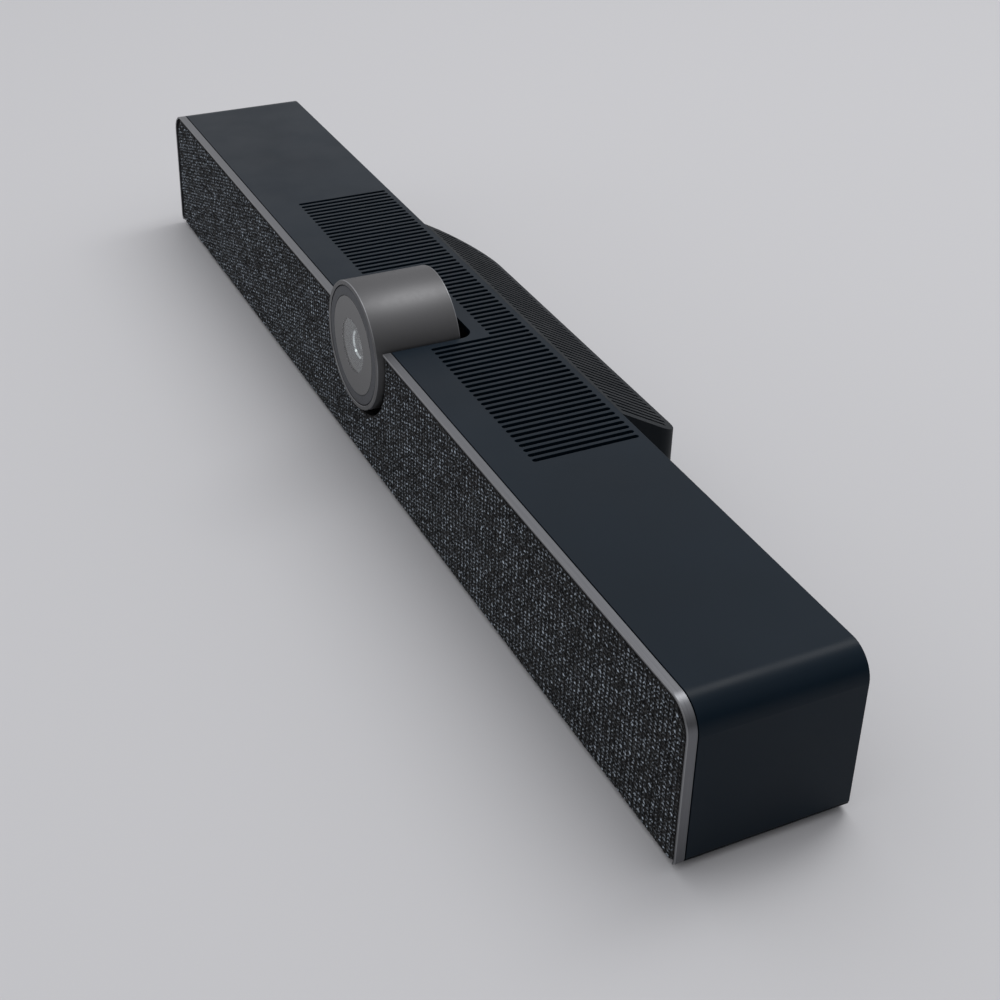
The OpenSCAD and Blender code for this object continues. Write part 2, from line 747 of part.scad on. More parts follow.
module barrel_front_ring() {
  r_out = barrel_in - ring_gap;
  color("#44474a") part_frame() turned(0, z_axis) polygon([[glass_r + fit_gap / 2, ring_front],
    [r_out, ring_front], [r_out, ring_back], [glass_r - ring_lip, ring_back],
    [glass_r - ring_lip, glass_back], [glass_r + fit_gap / 2, glass_back]]);
}
module cover_glass() {
  color("#1b1d20") part_frame() rod_y(glass_r, [ring_front, glass_back], 0, z_axis);
}
module lens_mask() {
  color("#08090a") part_frame() difference() {
    rod_y(glass_r - ring_lip - fit_gap / 2, [glass_back, mask_back], 0, z_axis);
    rod_y(mask_open_r, [glass_back - cut, mask_back + cut], 0, z_axis);
  }
}
module shutter_carrier() {
  r_out = barrel_in - fit_gap / 2;
  color("#16181a") part_frame() difference() {
    union() {
      rod_y(r_out, [carrier_front, carrier_back], 0, z_axis);
      difference() {
        rod_y(r_out, [ring_back, carrier_back], 0, z_axis);
        rod_y(r_out - carrier_rim_t, [ring_back - cut, carrier_back], 0, z_axis);
      }
      for (sx = [-1, 1]) for (sz = [-1, 1])
        rod_y(post_r, [carrier_front, camera_board_front], sx * post_at, z_axis + sz * post_at);
    }
    rod_y(holder_r + fit_gap / 2, [ring_back - cut, carrier_back + cut], 0, z_axis);
    rod_y(shutter_shaft_r + run_gap, [carrier_front - cut, carrier_back + cut], shutter_arm, z_axis);
  }
}
// The blade is drawn open, swung up about its pivot beside the lens
module shutter_blade() {
  shaft_end = carrier_back + motor_d / 2;
  color("#3a3d40") part_frame() translate([shutter_arm, 0, z_axis]) {
    rotate([0, shutter_swing, 0]) {
      rod_y(shutter_r, [shutter_front, shutter_back], -shutter_arm, 0);
      box([-shutter_arm, 0], [shutter_front, shutter_back], [-shutter_hub_r, shutter_hub_r]);
    }
    rod_y(shutter_hub_r, [shutter_front, shutter_back], 0, 0);
    rod_y(shutter_shaft_r, [shutter_front, shaft_end], 0, 0);
  }
}
module shutter_motor() {
  x = [shutter_arm - motor_w / 2, shutter_arm + motor_w / 2];
  color("#8a8c8e") part_frame() difference() {
    box([holder_wide_r + fit_gap, x[1]], [carrier_back, carrier_back + motor_d],
      [z_axis - motor_h / 2, z_axis + motor_h / 2]);
    rod_y(shutter_shaft_r + run_gap, [carrier_back - cut, carrier_back + motor_d / 2 + shutter_gap],
      shutter_arm, z_axis);
  }
}
module lens_holder() {
  color("#1a1c1e") part_frame() turned(0, z_axis) polygon([[lens_r + fit_gap / 2, carrier_front],
    [holder_r, carrier_front], [holder_r, carrier_front + holder_step],
    [holder_wide_r, carrier_front + holder_step], [holder_wide_r, camera_board_front],
    [holder_r, camera_board_front], [holder_r, sensor_front - sensor_t],
    [lens_r + fit_gap / 2, sensor_front - sensor_t]]);
}
module lens_front_element() {
  seat = carrier_front + lens_recess;
  color("#223044") part_frame() intersection() {
    rod_y(lens_r, [seat, seat + lens_t], 0, z_axis);
    translate([0, seat + lens_dome_r, z_axis]) sphere(r = lens_dome_r, $fn = 64);
  }
}
module lens_rear_group() {
  y0 = carrier_front + lens_recess + lens_t;
  color("#2b3440") part_frame() rod_y(lens_r, [y0, y0 + rear_group_t], 0, z_axis);
}
// The retaining ring shows through the glass as the bright circle round the lens
module lens_retaining_ring() {
  y0 = carrier_front + retainer_recess;
  color("#b4b6b8") part_frame() difference() {
    rod_y(lens_r, [y0, y0 + lens_ring_t], 0, z_axis);
    rod_y(lens_r - lens_ring_t, [y0 - cut, y0 + lens_ring_t + cut], 0, z_axis);
  }
}
module image_sensor() {
  color("#30363c") part_frame() box([-sensor_w / 2, sensor_w / 2], [sensor_front, camera_board_front],
    [z_axis - sensor_w / 2, z_axis + sensor_w / 2]);
}
module sensor_board() {
  color("#1d5a3a") part_frame() union() {
    box([-camera_board_w / 2, camera_board_w / 2], [camera_board_front, camera_board_back],
      [z_axis - camera_board_w / 2, z_axis + camera_board_w / 2]);
    box([-camera_plug_w / 2, camera_plug_w / 2], [camera_board_back, camera_board_back + camera_plug_t],
      [z_axis - camera_plug_h / 2, z_axis + camera_plug_h / 2]);
  }
}
module barrel_rear_cap() {
  y = [barrel_back - cap_recess - cap_t, barrel_back - cap_recess];
  color("#5c5d60") part_frame() difference() {
    rod_y(barrel_in - fit_gap / 2, y, 0, z_axis);
    box([-cradle_slot_w / 2, cradle_slot_w / 2], [y[0] - cut, y[1] + cut],
      [z_axis - cap_slot_h / 2, z_axis + cap_slot_h / 2]);
  }
}
module tilt_pins() {
  color("#9a9c9e") part_frame() for (s = [-1, 1]) {
    difference() {
      rod_x(pin_flange_r, s > 0 ? [barrel_in, well_half - pin_flange_gap] :
        [pin_flange_gap - well_half, -barrel_in], tilt_depth, z_axis);
      rod_y(barrel_r, [barrel_front, barrel_back], 0, z_axis);
    }
    rod_x(pin_r, s > 0 ? [barrel_in, cradle_half] : [-cradle_half, -barrel_in], tilt_depth, z_axis);
  }
}
module tilt_bushes() {
  r = pin_r + run_gap;
  color("#c8c2a8") part_frame() for (s = [-1, 1]) difference() {
    union() {
      rod_x(r + bush_t, s > 0 ? [well_half, cradle_half] : [-cradle_half, -well_half],
        tilt_depth, z_axis);
      rod_x(r + 2 * bush_t, s > 0 ? [cradle_half, cradle_half + bush_lip_t] :
        [-cradle_half - bush_lip_t, -cradle_half], tilt_depth, z_axis);
    }
    rod_x(r, s > 0 ? [well_half - cut, cradle_half + bush_lip_t + cut] :
      [-cradle_half - bush_lip_t - cut, cut - well_half], tilt_depth, z_axis);
  }
}
// The ribbon leaves the camera through the rear cap and turns down behind the cradle
module camera_ribbon() {
  y0 = camera_board_back + camera_plug_t + ribbon_plug_gap;
  x = [-ribbon_w / 2, ribbon_w / 2];
  color("#b88a3a") part_frame() union() {
    box(x, [y0, ribbon_back], [z_axis - ribbon_t / 2, z_axis + ribbon_t / 2]);
    box(x, [ribbon_back - ribbon_t, ribbon_back], [z_chips + ribbon_plug_h, z_axis]);
  }
}
module ribbon_connector() {
  y = ribbon_back - ribbon_t / 2;
  color("#e6e2d8") part_frame() box([-ribbon_w / 2 - ribbon_t, ribbon_w / 2 + ribbon_t],
    [y - ribbon_plug_d / 2, y + ribbon_plug_d / 2], [z_chips, z_chips + ribbon_plug_h]);
}

// Sound

module speaker_box(side) {
  x = side * speaker_x;
  z = [z_floor, box_top];
  t = speaker_wall;
  color("#1a1c1f") part_frame() difference() {
    box([x - speaker_half_w, x + speaker_half_w], [box_front, box_back], z);
    box([x - speaker_half_w + t, x + speaker_half_w - t], [box_front + t, box_back - t],
      [z[0] + t, z[1] - t]);
    rod_y(cup_r + basket_t + driver_screw_gap, [box_front - cut, box_front + t + cut], x, driver_z);
    for (p = driver_screw_places()) if (p[0] * side > 0)
      rod_y(driver_screw_r + driver_screw_gap, [box_front - cut, box_front + t + cut], p[0], p[1]);
  }
}
module speaker_box_left() { speaker_box(-1); }
module speaker_box_right() { speaker_box(1); }
// Pressed basket: a flange on the box, a tapering cup and a seat for the magnet
module speaker_basket(side) {
  x = side * speaker_x;
  y_seat = flange_front + basket_depth;
  r_seat = coil_r + coil_t + coil_gap;
  r_mouth = cone_r + surround_gap + surround_w - surround_seat;
  color("#5a5d60") part_frame() difference() {
    union() {
      box([x - driver_side / 2, x + driver_side / 2], [flange_front, box_front],
        [driver_z - driver_side / 2, driver_z + driver_side / 2]);
      rod_y(cup_r + basket_t, [flange_front, y_seat], x, driver_z);
    }
    rod_y(r_mouth, [flange_front - cut, flange_front + basket_t], x, driver_z);
    rod_y(cup_r, [flange_front, y_seat - basket_t], x, driver_z);
    rod_y(r_seat, [flange_front, y_seat + cut], x, driver_z);
    for (p = driver_screw_places()) if (p[0] * side > 0)
      rod_y(driver_screw_r + driver_screw_gap, [flange_front - cut, box_front + cut], p[0], p[1]);
  }
}
module speaker_basket_left() { speaker_basket(-1); }
module speaker_basket_right() { speaker_basket(1); }
module speaker_cone(side) {
  y0 = flange_front;
  y1 = y0 + cone_depth;
  y_seat = flange_front + basket_depth;
  color("#26282a") part_frame() turned(side * speaker_x, driver_z) polygon([[0, y1 - cone_t],
    [coil_r, y1 - cone_t], [cone_r - cone_t, y0], [cone_r, y0], [cone_r, y0 + cone_t],
    [coil_r + coil_t, y1], [coil_r + coil_t, y_seat + coil_len], [coil_r, y_seat + coil_len],
    [coil_r, y1], [0, y1]]);
}
module speaker_cone_left() { speaker_cone(-1); }
module speaker_cone_right() { speaker_cone(1); }
module speaker_surrounds() {
  r0 = cone_r + surround_gap;
  r1 = r0 + surround_w;
  y = [flange_front - surround_t, flange_front];
  color("#0c0d0e") part_frame() for (s = [-1, 1]) difference() {
    rod_y(r1, y, s * speaker_x, driver_z);
    rod_y(r0, [y[0] - cut, y[1] + cut], s * speaker_x, driver_z);
  }
}
module speaker_magnets() {
  y0 = flange_front + basket_depth;
  y1 = y0 + magnet_t;
  r_gap = coil_r + coil_t + coil_gap;
  r_pole = coil_r - coil_gap;
  y_yoke = y1 - magnet_plate_t;
  color("#3c3e42") part_frame() for (s = [-1, 1]) turned(s * speaker_x, driver_z)
    polygon([[0, y0 - coil_gap], [r_pole, y0 - coil_gap], [r_pole, y_yoke], [r_gap, y_yoke],
      [r_gap, y0], [magnet_r, y0], [magnet_r, y1], [0, y1]]);
}
module mic_board() {
  reach = (mic_count - 1) / 2 * mic_pitch + mic_board_h;
  y = [mic_gasket_t, mic_gasket_t + mic_board_t];
  color("#1d5a3a") part_frame() difference() {
    box([-reach, reach], y, [mic_z - mic_board_h / 2, mic_z + mic_board_h / 2]);
    for (x = mic_places()) rod_y(mic_hole_r, [y[0] - cut, y[1] + cut], x, mic_z);
  }
}
module mic_capsules() {
  y = mic_gasket_t + mic_board_t;
  color("#c9cacc") part_frame() for (x = mic_places())
    box([x - mic_size[0] / 2, x + mic_size[0] / 2], [y, y + mic_size[1]],
      [mic_z - mic_size[2] / 2, mic_z + mic_size[2] / 2]);
}
module mic_gaskets() {
  color("#101010") part_frame() for (x = mic_places()) difference() {
    rod_y(mic_gasket_r, [0, mic_gasket_t], x, mic_z);
    rod_y(2 * mic_hole_r, [-cut, mic_gasket_t + cut], x, mic_z);
  }
}

// Electronics

module main_board() {
  z = [z_board, z_chips];
  color("#1d5a3a") part_frame() difference() {
    union() {
      box(board_wide_x, [board_front, board_step_y], z);
      box(board_narrow_x, [board_front, board_back], z);
    }
    for (p = board_screw_places()) rod_z(screw_r + screw_gap, [z_board - cut, z_chips + cut], p[0], p[1]);
  }
}
module processor() {
  color("#25282b") part_frame() box([chip_x - chip_w / 2, chip_x + chip_w / 2],
    [chip_y - chip_w / 2, chip_y + chip_w / 2], [z_chips, z_chips + chip_t]);
}
module memory_chips() {
  s = memory_size;
  color("#202225") part_frame() for (x = memory_x)
    box([x - s[0] / 2, x + s[0] / 2], [chip_y - s[1] / 2, chip_y + s[1] / 2], [z_chips, z_chips + s[2]]);
}
module shield_can() {
  s = shield_size;
  color("#b7b9bb") part_frame() difference() {
    box([shield_x - s[0] / 2, shield_x + s[0] / 2], [chip_y - s[1] / 2, chip_y + s[1] / 2],
      [z_chips, z_chips + s[2]]);
    box([shield_x - s[0] / 2 + shield_wall, shield_x + s[0] / 2 - shield_wall],
      [chip_y - s[1] / 2 + shield_wall, chip_y + s[1] / 2 - shield_wall],
      [z_chips - cut, z_chips + s[2] - shield_wall]);
  }
}
module thermal_pad() {
  color("#9fb4c6") part_frame() box([chip_x - chip_w / 2, chip_x + chip_w / 2],
    [chip_y - chip_w / 2, chip_y + chip_w / 2], [z_chips + chip_t, z_chips + chip_t + pad_t]);
}
// Plate over the sockets with a block down to the processor and fins up to the vents
module heat_sink() {
  z_plate = z_chips + ethernet_size[2] + sink_clear;
  z_fins = z_plate + sink_plate_t;
  z_front = z_ceiling - sink_clear;
  z_gate = z_ceiling - wall_t - sink_clear;
  fall = tan(roof_fall);
  z_back = z_top - seam_gap - (wall_t + sink_clear) / cos(roof_fall)
    - fall * (sink_back - body_d - seam_gap);
  y_gate = sink_back - (z_gate - z_back) / fall;
  y_bend = body_d - wall_t - sink_clear;
  fins = floor((sink_x[1] - sink_x[0] - fin_t) / fin_pitch);
  color("#a6a8aa") part_frame() union() {
    box([chip_x - chip_w / 2, chip_x + chip_w / 2], [chip_y - chip_w / 4, chip_y + chip_w / 2],
      [z_chips + chip_t + pad_t, z_fins]);
    box(sink_x, [sink_front, sink_back], [z_plate, z_fins]);
    for (x = sink_leg_x) for (y = sink_leg_y) rod_z(sink_leg_r, [z_chips, z_fins], x, y);
    for (i = [0 : fins]) along_x([sink_x[0] + i * fin_pitch, sink_x[0] + i * fin_pitch + fin_t])
      polygon([[sink_front, z_plate], [sink_back, z_plate], [sink_back, z_back], [y_gate, z_gate],
        [y_bend, z_gate], [y_bend, z_front], [sink_front, z_front]]);
  }
}
module dc_jack() {
  s = jack_size;
  z = z_chips + s[2] / 2;
  color("#121315") part_frame() union() {
    difference() {
      box([jack_x - s[0] / 2, jack_x + s[0] / 2], [port_face - s[1], port_face], [z_chips, z_chips + s[2]]);
      rod_y(jack_hole_r, [port_face - jack_depth, port_face + cut], jack_x, z);
    }
    rod_y(jack_pin_r, [port_face - s[1] + shell_t, port_face - shell_t], jack_x, z);
  }
}
// Metal shell with a tongue across its mouth
module shell_socket(x, size) {
  t = shell_t;
  z = [z_chips, z_chips + size[2]];
  difference() {
    box([x - size[0] / 2, x + size[0] / 2], [port_face - size[1], port_face], z);
    box([x - size[0] / 2 + t, x + size[0] / 2 - t], [port_face - size[1] + tongue_in, port_face + cut],
      [z[0] + t, z[1] - t]);
  }
  box([x - size[0] / 2 + tongue_in, x + size[0] / 2 - tongue_in],
    [port_face - size[1] + t, port_face - tongue_in],
    [z[0] + (size[2] - tongue_t) / 2, z[0] + (size[2] + tongue_t) / 2]);
}
module hdmi_port() {
  color("#9fa1a3") part_frame() shell_socket(hdmi_x, hdmi_size);
}
module ethernet_port() {
  s = ethernet_size;
  h = ethernet_hole;
  z = z_chips + (s[2] - h[2]) / 2;
  color("#a9abad") part_frame() difference() {
    box([ethernet_x - s[0] / 2, ethernet_x + s[0] / 2], [port_face - s[1], port_face],
      [z_chips, z_chips + s[2]]);
    box([ethernet_x - h[0] / 2, ethernet_x + h[0] / 2], [port_face - h[1], port_face + cut],
      [z, z + h[2]]);
  }
}
module usb_a_ports() {
  color("#a4a6a8") part_frame() for (x = usb_a_x) shell_socket(x, usb_a_size);
}
module usb_c_port() {
  s = usb_c_size;
  r = s[2] / 2;
  z = z_chips + r;
  y = [port_face - s[1], port_face];
  reach = s[0] / 2 - r;
  color("#a4a6a8") part_frame() difference() {
    union() {
      box([usb_c_x - reach, usb_c_x + reach], y, [z_chips, z_chips + s[2]]);
      for (d = [-reach, reach]) rod_y(r, y, usb_c_x + d, z);
    }
    difference() {
      union() {
        box([usb_c_x - reach, usb_c_x + reach], [y[0] + tongue_in, y[1] + cut],
          [z - r + shell_t, z + r - shell_t]);
        for (d = [-reach, reach]) rod_y(r - shell_t, [y[0] + tongue_in, y[1] + cut], usb_c_x + d, z);
      }
      box([usb_c_x - reach, usb_c_x + reach], [y[0], y[1] - tongue_in], [z - shell_t / 2, z + shell_t / 2]);
    }
  }
}
module reset_button() {
  y_collar = y_rear - wall_t - fit_gap / 2;
  color("#2e3235") part_frame() union() {
    rod_y(button_r, [y_collar - button_collar_t, y_rear - button_recess], button_x, z_button);
    rod_y(button_collar_r, [y_collar - button_collar_t, y_collar], button_x, z_button);
    rod_y(button_r / 2, [y_collar - button_collar_t - button_stem, y_collar], button_x, z_button);
  }
}
module reset_switch() {
  s = switch_size;
  y = y_rear - wall_t - fit_gap / 2 - button_collar_t - button_stem - button_travel - switch_gap;
  color("#17191b") part_frame() box([button_x - s[0] / 2, button_x + s[0] / 2], [y - s[1], y],
    [z_chips, z_chips + s[2]]);
}
module security_slot_plate() {
  p = lock_plate;
  y = body_d - wall_t;
  color("#b0b2b4") part_frame() difference() {
    box([lock_x - p[0] / 2, lock_x + p[0] / 2], [y - p[1], y], [lock_z - p[2] / 2, lock_z + p[2] / 2]);
    box([lock_x - lock_w / 2, lock_x + lock_w / 2], [y - p[1] - cut, y + cut],
      [lock_z - lock_h / 2, lock_z + lock_h / 2]);
  }
}

// Feet, inserts and screws

module rubber_feet() {
  color("#1b1b1b") part_frame() for (p = foot_places())
    rod_z(foot_r, [0, z_low + foot_sink], p[0], p[1]);
}
module bracket_inserts() {
  color("#c9a24a") part_frame() for (p = bracket_places()) difference() {
    rod_z(bracket_hole_r + insert_wall, [z_low, z_low + insert_len], p[0], p[1]);
    rod_z(bracket_hole_r, [z_low - cut, z_low + insert_len + cut], p[0], p[1]);
  }
}
module tripod_insert() {
  color("#c9a24a") part_frame() difference() {
    rod_z(tripod_hole_r + insert_wall, [z_low, z_low + insert_len], 0, tripod_y);
    rod_z(tripod_hole_r, [z_low - cut, z_low + insert_len + cut], 0, tripod_y);
  }
}
module bottom_screws() {
  color("#8d8f92") part_frame() for (p = base_screw_places())
    screw_z(p[0], p[1], z_low + base_head_t - screw_head_t, base_head_r, screw_head_t, screw_r,
      base_screw_len, 1);
}
module cradle_screws() {
  color("#8d8f92") part_frame() for (p = cradle_leg_places())
    screw_z(p[0], p[1], z_low + base_head_t - screw_head_t, base_head_r, screw_head_t, screw_r,
      base_screw_len, 1);
}
module board_screws() {
  color("#8d8f92") part_frame() for (p = board_screw_places())
    screw_z(p[0], p[1], z_chips + screw_head_t, screw_head_r, screw_head_t, screw_r,
      screw_head_t + board_t + board_lift / 2, -1);
}
module rear_screws() {
  color("#3a3c3e") part_frame() for (x = rear_boss_x)
    screw_y(x, z_ceiling - rear_boss_r, body_d, screw_head_r, wall_t / 2, screw_r, rear_boss_len, -1);
}
module driver_screws() {
  color("#8d8f92") part_frame() for (p = driver_screw_places())
    screw_y(p[0], p[1], flange_front - driver_head_t, driver_head_r, driver_head_t, driver_screw_r,
      driver_screw_len, 1);
}

housing();
bottom_cover();
rear_cover();
front_bezel();
grille_frame();
fabric_cover();
camera_cradle();
barrel_tube();
barrel_front_ring();
cover_glass();
lens_mask();
shutter_carrier();
shutter_blade();
shutter_motor();
lens_holder();
lens_front_element();
lens_rear_group();
lens_retaining_ring();
image_sensor();
sensor_board();
barrel_rear_cap();
tilt_pins();
tilt_bushes();
camera_ribbon();
ribbon_connector();
speaker_box_left();
speaker_box_right();
speaker_basket_left();
speaker_basket_right();
speaker_cone_left();
speaker_cone_right();
speaker_surrounds();
speaker_magnets();
mic_board();
mic_capsules();
mic_gaskets();
main_board();
processor();
memory_chips();
shield_can();
thermal_pad();
heat_sink();
dc_jack();
hdmi_port();
ethernet_port();
usb_a_ports();
usb_c_port();
reset_button();
reset_switch();
security_slot_plate();
rubber_feet();
bracket_inserts();
tripod_insert();
bottom_screws();
rear_screws();
board_screws();
cradle_screws();
driver_screws();
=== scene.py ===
"""Conference camera bar: visible pieces, finishes and studio round the fixed CAD frame"""

import math

import bmesh
import bpy
import numpy as np
from bpy.props import FloatProperty, FloatVectorProperty, IntProperty, PointerProperty
from mathutils import Matrix, Vector


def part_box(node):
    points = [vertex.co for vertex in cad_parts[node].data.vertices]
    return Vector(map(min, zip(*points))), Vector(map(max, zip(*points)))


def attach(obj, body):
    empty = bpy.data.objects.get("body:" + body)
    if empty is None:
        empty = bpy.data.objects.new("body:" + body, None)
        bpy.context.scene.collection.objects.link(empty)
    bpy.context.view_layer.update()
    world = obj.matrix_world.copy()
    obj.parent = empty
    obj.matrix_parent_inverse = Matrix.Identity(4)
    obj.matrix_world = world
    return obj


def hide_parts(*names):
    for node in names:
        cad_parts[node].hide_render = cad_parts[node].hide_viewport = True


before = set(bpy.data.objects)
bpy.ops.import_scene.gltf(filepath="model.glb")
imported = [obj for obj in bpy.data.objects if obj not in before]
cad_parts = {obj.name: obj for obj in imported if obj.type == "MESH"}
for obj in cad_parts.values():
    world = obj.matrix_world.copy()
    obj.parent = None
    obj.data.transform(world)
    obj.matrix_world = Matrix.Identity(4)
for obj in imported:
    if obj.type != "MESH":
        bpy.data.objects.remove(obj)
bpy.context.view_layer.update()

bl_info = {
    "name": "Conference Camera Bar",
    "version": (1, 0, 0),
    "blender": (4, 5, 0),
    "location": "View3D > Sidebar > Camera Bar",
    "description": "Builds the visible pieces and finishes of a conference camera bar",
    "category": "Object",
}

MM = 0.001
TOUCH = 0.01 * MM            # slack when a point is compared with a depth or a radius
CHAMFER_LEAN = (0.35, 0.93)  # depth share of a chamfer's normal, between a side's and a face's

# Outline of the front, as in the casing
TOP_CORNER = 9.0 * MM
LOW_CORNER = 3.0 * MM
SLOT_HALF = 23.5 * MM        # half width of the camera's opening
SLOT_DROP = 1.9 * MM         # the opening's round bottom lies this far under the barrel's axis

# Front frame
FRAME_FACE = 1.6 * MM        # width of its face
FRAME_RIM = 0.75 * MM        # width of its bright rim, in front of the step to the knit, whose shelf is painted black as shade
FRAME_STEP = 1.5 * MM        # depth of that step
STEP_LEAN = 0.05 * MM        # lean of the wall between rim and step
FRAME_SINK = 1.25 * MM       # the bottom bar lies this far back, where the knit covers it
SINK_START = 0.75            # it sinks where the outline faces down by more than this share
TOP_ARC, LOW_ARC = 28, 12    # steps round the corners

# Knit front
KNIT_FOOT = 0.15 * MM        # it runs down over the bottom bar to this far from the frame's edge
KNIT_FRONT = 0.02 * MM       # its highest loops lie this far behind the solid's front
KNIT_BACK = 0.05 * MM        # its turned-in rim ends this far before the solid's back
KNIT_FADE = 0.9 * MM         # its loops reach their full height this far from the rim
KNIT_EDGE = 0.35             # their share of that height at the rim
KNIT_SEED = 7
WALE_POINTS, COURSE_POINTS = 6, 4                           # mesh points across and up one loop
STRAND_SIDE = np.array([0, 1, 1, 0, -1, -1])                # lean of the strand across one loop
STRAND_RISE = np.array([0.0, 0.62, 1.0, 0.25, 1.0, 0.62])   # height across one loop
COURSE_RISE = np.array([0.1, 0.85, 1.0, 0.65])              # height up one loop
STRAND_LEAN = 0.13           # sideways step of a strand from point to point, in wales
STRAND_STRAY = 0.05          # spread of the points to the sides, in wales
LOOP_MEAN, LOOP_SPREAD = 0.95, 0.32
LOOP_LEAST, LOOP_MOST = 0.2, 1.3
GAP_DEPTH, LOOP_DEPTH = 0.52, 0.14   # shares of the relief where the painted gap shade is fully black and where a loop shows its full yarn
# Painted shade: the deepest parts of the knit's relief turn this near black, for the shade in the
# gaps between loops and the dark inside seen through them
GAP_SHADE_BLACK = (0.0012, 0.0013, 0.0016, 1.0)

# Barrel, glass and lens
TUBE_WALL = 1.6 * MM
BROKEN_EDGE = 0.12 * MM      # small chamfer of a turned piece
NOSE = ((0.45, 0.0), (0.15, 0.1), (0.0, 0.4))    # mm in and back from the tube's front corner
TAIL = ((0.0, 0.4), (0.12, 0.12), (0.4, 0.0))    # mm in and forward from its rear corner
RING_EDGE = 0.25 * MM        # chamfer round the glass ring
SEAT_GAP = 0.1 * MM          # air round the glass, and the chamfer at that edge
SEAT_LIP = 0.5 * MM          # width of the ring behind the glass
SEAT_DEPTH = 1.3 * MM        # depth of that lip
GLASS_GAP = 0.06 * MM        # air between the cover glass and the mask
MASK_OPENING = 9.6 * MM      # radius of the mask's clear middle
LENS_RING_WIDTH = 0.8 * MM
LENS_RING_EDGE = 0.1 * MM
CONE_DEPTH = 0.42 * MM       # depth of the bright cone inside the lens ring
LENS_DOME = 9.0 * MM         # radius of the front lens's curve
DOME_POINTS = 14

# Studio
FLOOR_HALF = 20.0
FLOOR_ACROSS = (0.86, -0.5, 0.0)     # direction of the floor's painted light falloff, from the far tone to the near one
FLOOR_REACH = 0.35                   # distance to either side over which it does
ROOM_LEAN = (-0.38, 0.1, 0.9)        # direction of the room's brightest part
ROOM_START = -0.1                    # share of that direction where the light begins to rise
ROOM_LOW, ROOM_HIGH = 0.25, 1.5      # shares of the room light
SOFTBOXES = (                        # name, place, size, share of the lamp light
    ("softbox_overhead", (-0.16, 0.52, 1.45), (0.5, 1.5), 1.0),
    ("softbox_front", (-0.25, -1.5, 0.42), (1.0, 0.5), 0.24),
)

# Viewpoint
VIEW_TURN, VIEW_RISE, VIEW_ROLL = 63.501, 30.275, -1.628         # degrees
VIEW_TARGET, VIEW_DISTANCE = (65.721, -15.229, 53.2), 532.998    # mm
VIEW_FOCUS, VIEW_PIXELS = 1685.245, 1000                         # pixels
VIEW_SHIFT = -0.1                                                # share of the width
SENSOR_WIDTH = 36.0                                              # mm
CLIP_START, CLIP_END = 0.01, 50.0                                # metres


def tone(red, green, blue):
    """Screen colour from 0 to 255, as a linear colour"""
    def linear(c):
        c /= 255
        return c / 12.92 if c <= 0.04045 else ((c + 0.055) / 1.055) ** 2.4
    return (linear(red), linear(green), linear(blue), 1.0)


class BarSettings(bpy.types.PropertyGroup):
    """Sizes and colours that a user would change"""
    wale_pitch: FloatProperty(
        name="Wale pitch", description="Width of one column of knit loops",
        default=2.2 * MM, unit="LENGTH")
    course_pitch: FloatProperty(
        name="Course pitch", description="Height of one row of knit loops",
        default=1.4 * MM, unit="LENGTH")
    knit_relief: FloatProperty(
        name="Knit relief", description="Depth of the knit's open gaps",
        default=0.48 * MM, unit="LENGTH")
    frame_chamfer: FloatProperty(
        name="Frame chamfer", description="Bright cut edge of the front frame",
        default=0.22 * MM, unit="LENGTH")
    edge_radius: FloatProperty(
        name="Edge radius", description="Softening of the moulded edges",
        default=0.25 * MM, unit="LENGTH")
    turning_steps: IntProperty(
        name="Turning steps", description="Faces round each turned piece",
        default=192, min=48)
    housing_colour: FloatVectorProperty(
        name="Housing", description="Satin moulded housing",
        default=tone(9, 24, 35), size=4, subtype="COLOR")
    rear_colour: FloatVectorProperty(
        name="Rear cover", description="Moulded rear cover and bottom",
        default=tone(8, 17, 23), size=4, subtype="COLOR")
    frame_colour: FloatVectorProperty(
        name="Front frame", description="Anodised front frame",
        default=tone(114, 115, 118), size=4, subtype="COLOR")
    barrel_colour: FloatVectorProperty(
        name="Barrel", description="Satin metal of the camera barrel",
        default=tone(99, 99, 100), size=4, subtype="COLOR")
    yarn_dark: FloatVectorProperty(
        name="Dark yarn", description="Dark strands of the heathered knit",
        default=tone(12, 16, 22), size=4, subtype="COLOR")
    yarn_light: FloatVectorProperty(
        name="Light yarn", description="Light strands of the heathered knit",
        default=tone(196, 208, 221), size=4, subtype="COLOR")
    # Painted light falloff on the floor: the near tone, slightly darker, stands for less light
    # towards the camera
    floor_near: FloatVectorProperty(
        name="Floor, near", description="Floor colour in front",
        default=tone(202, 202, 204), size=4, subtype="COLOR")
    floor_far: FloatVectorProperty(
        name="Floor, far", description="Floor colour behind",
        default=tone(203, 203, 205), size=4, subtype="COLOR")
    world_light: FloatProperty(
        name="Room light", description="Strength of the even room light",
        default=0.72, min=0)
    lamp_light: FloatProperty(
        name="Softbox light", description="Power of the key softbox",
        default=8.0, min=0, unit="POWER")


def settings():
    return bpy.context.scene.camera_bar


# Node trees of the finishes

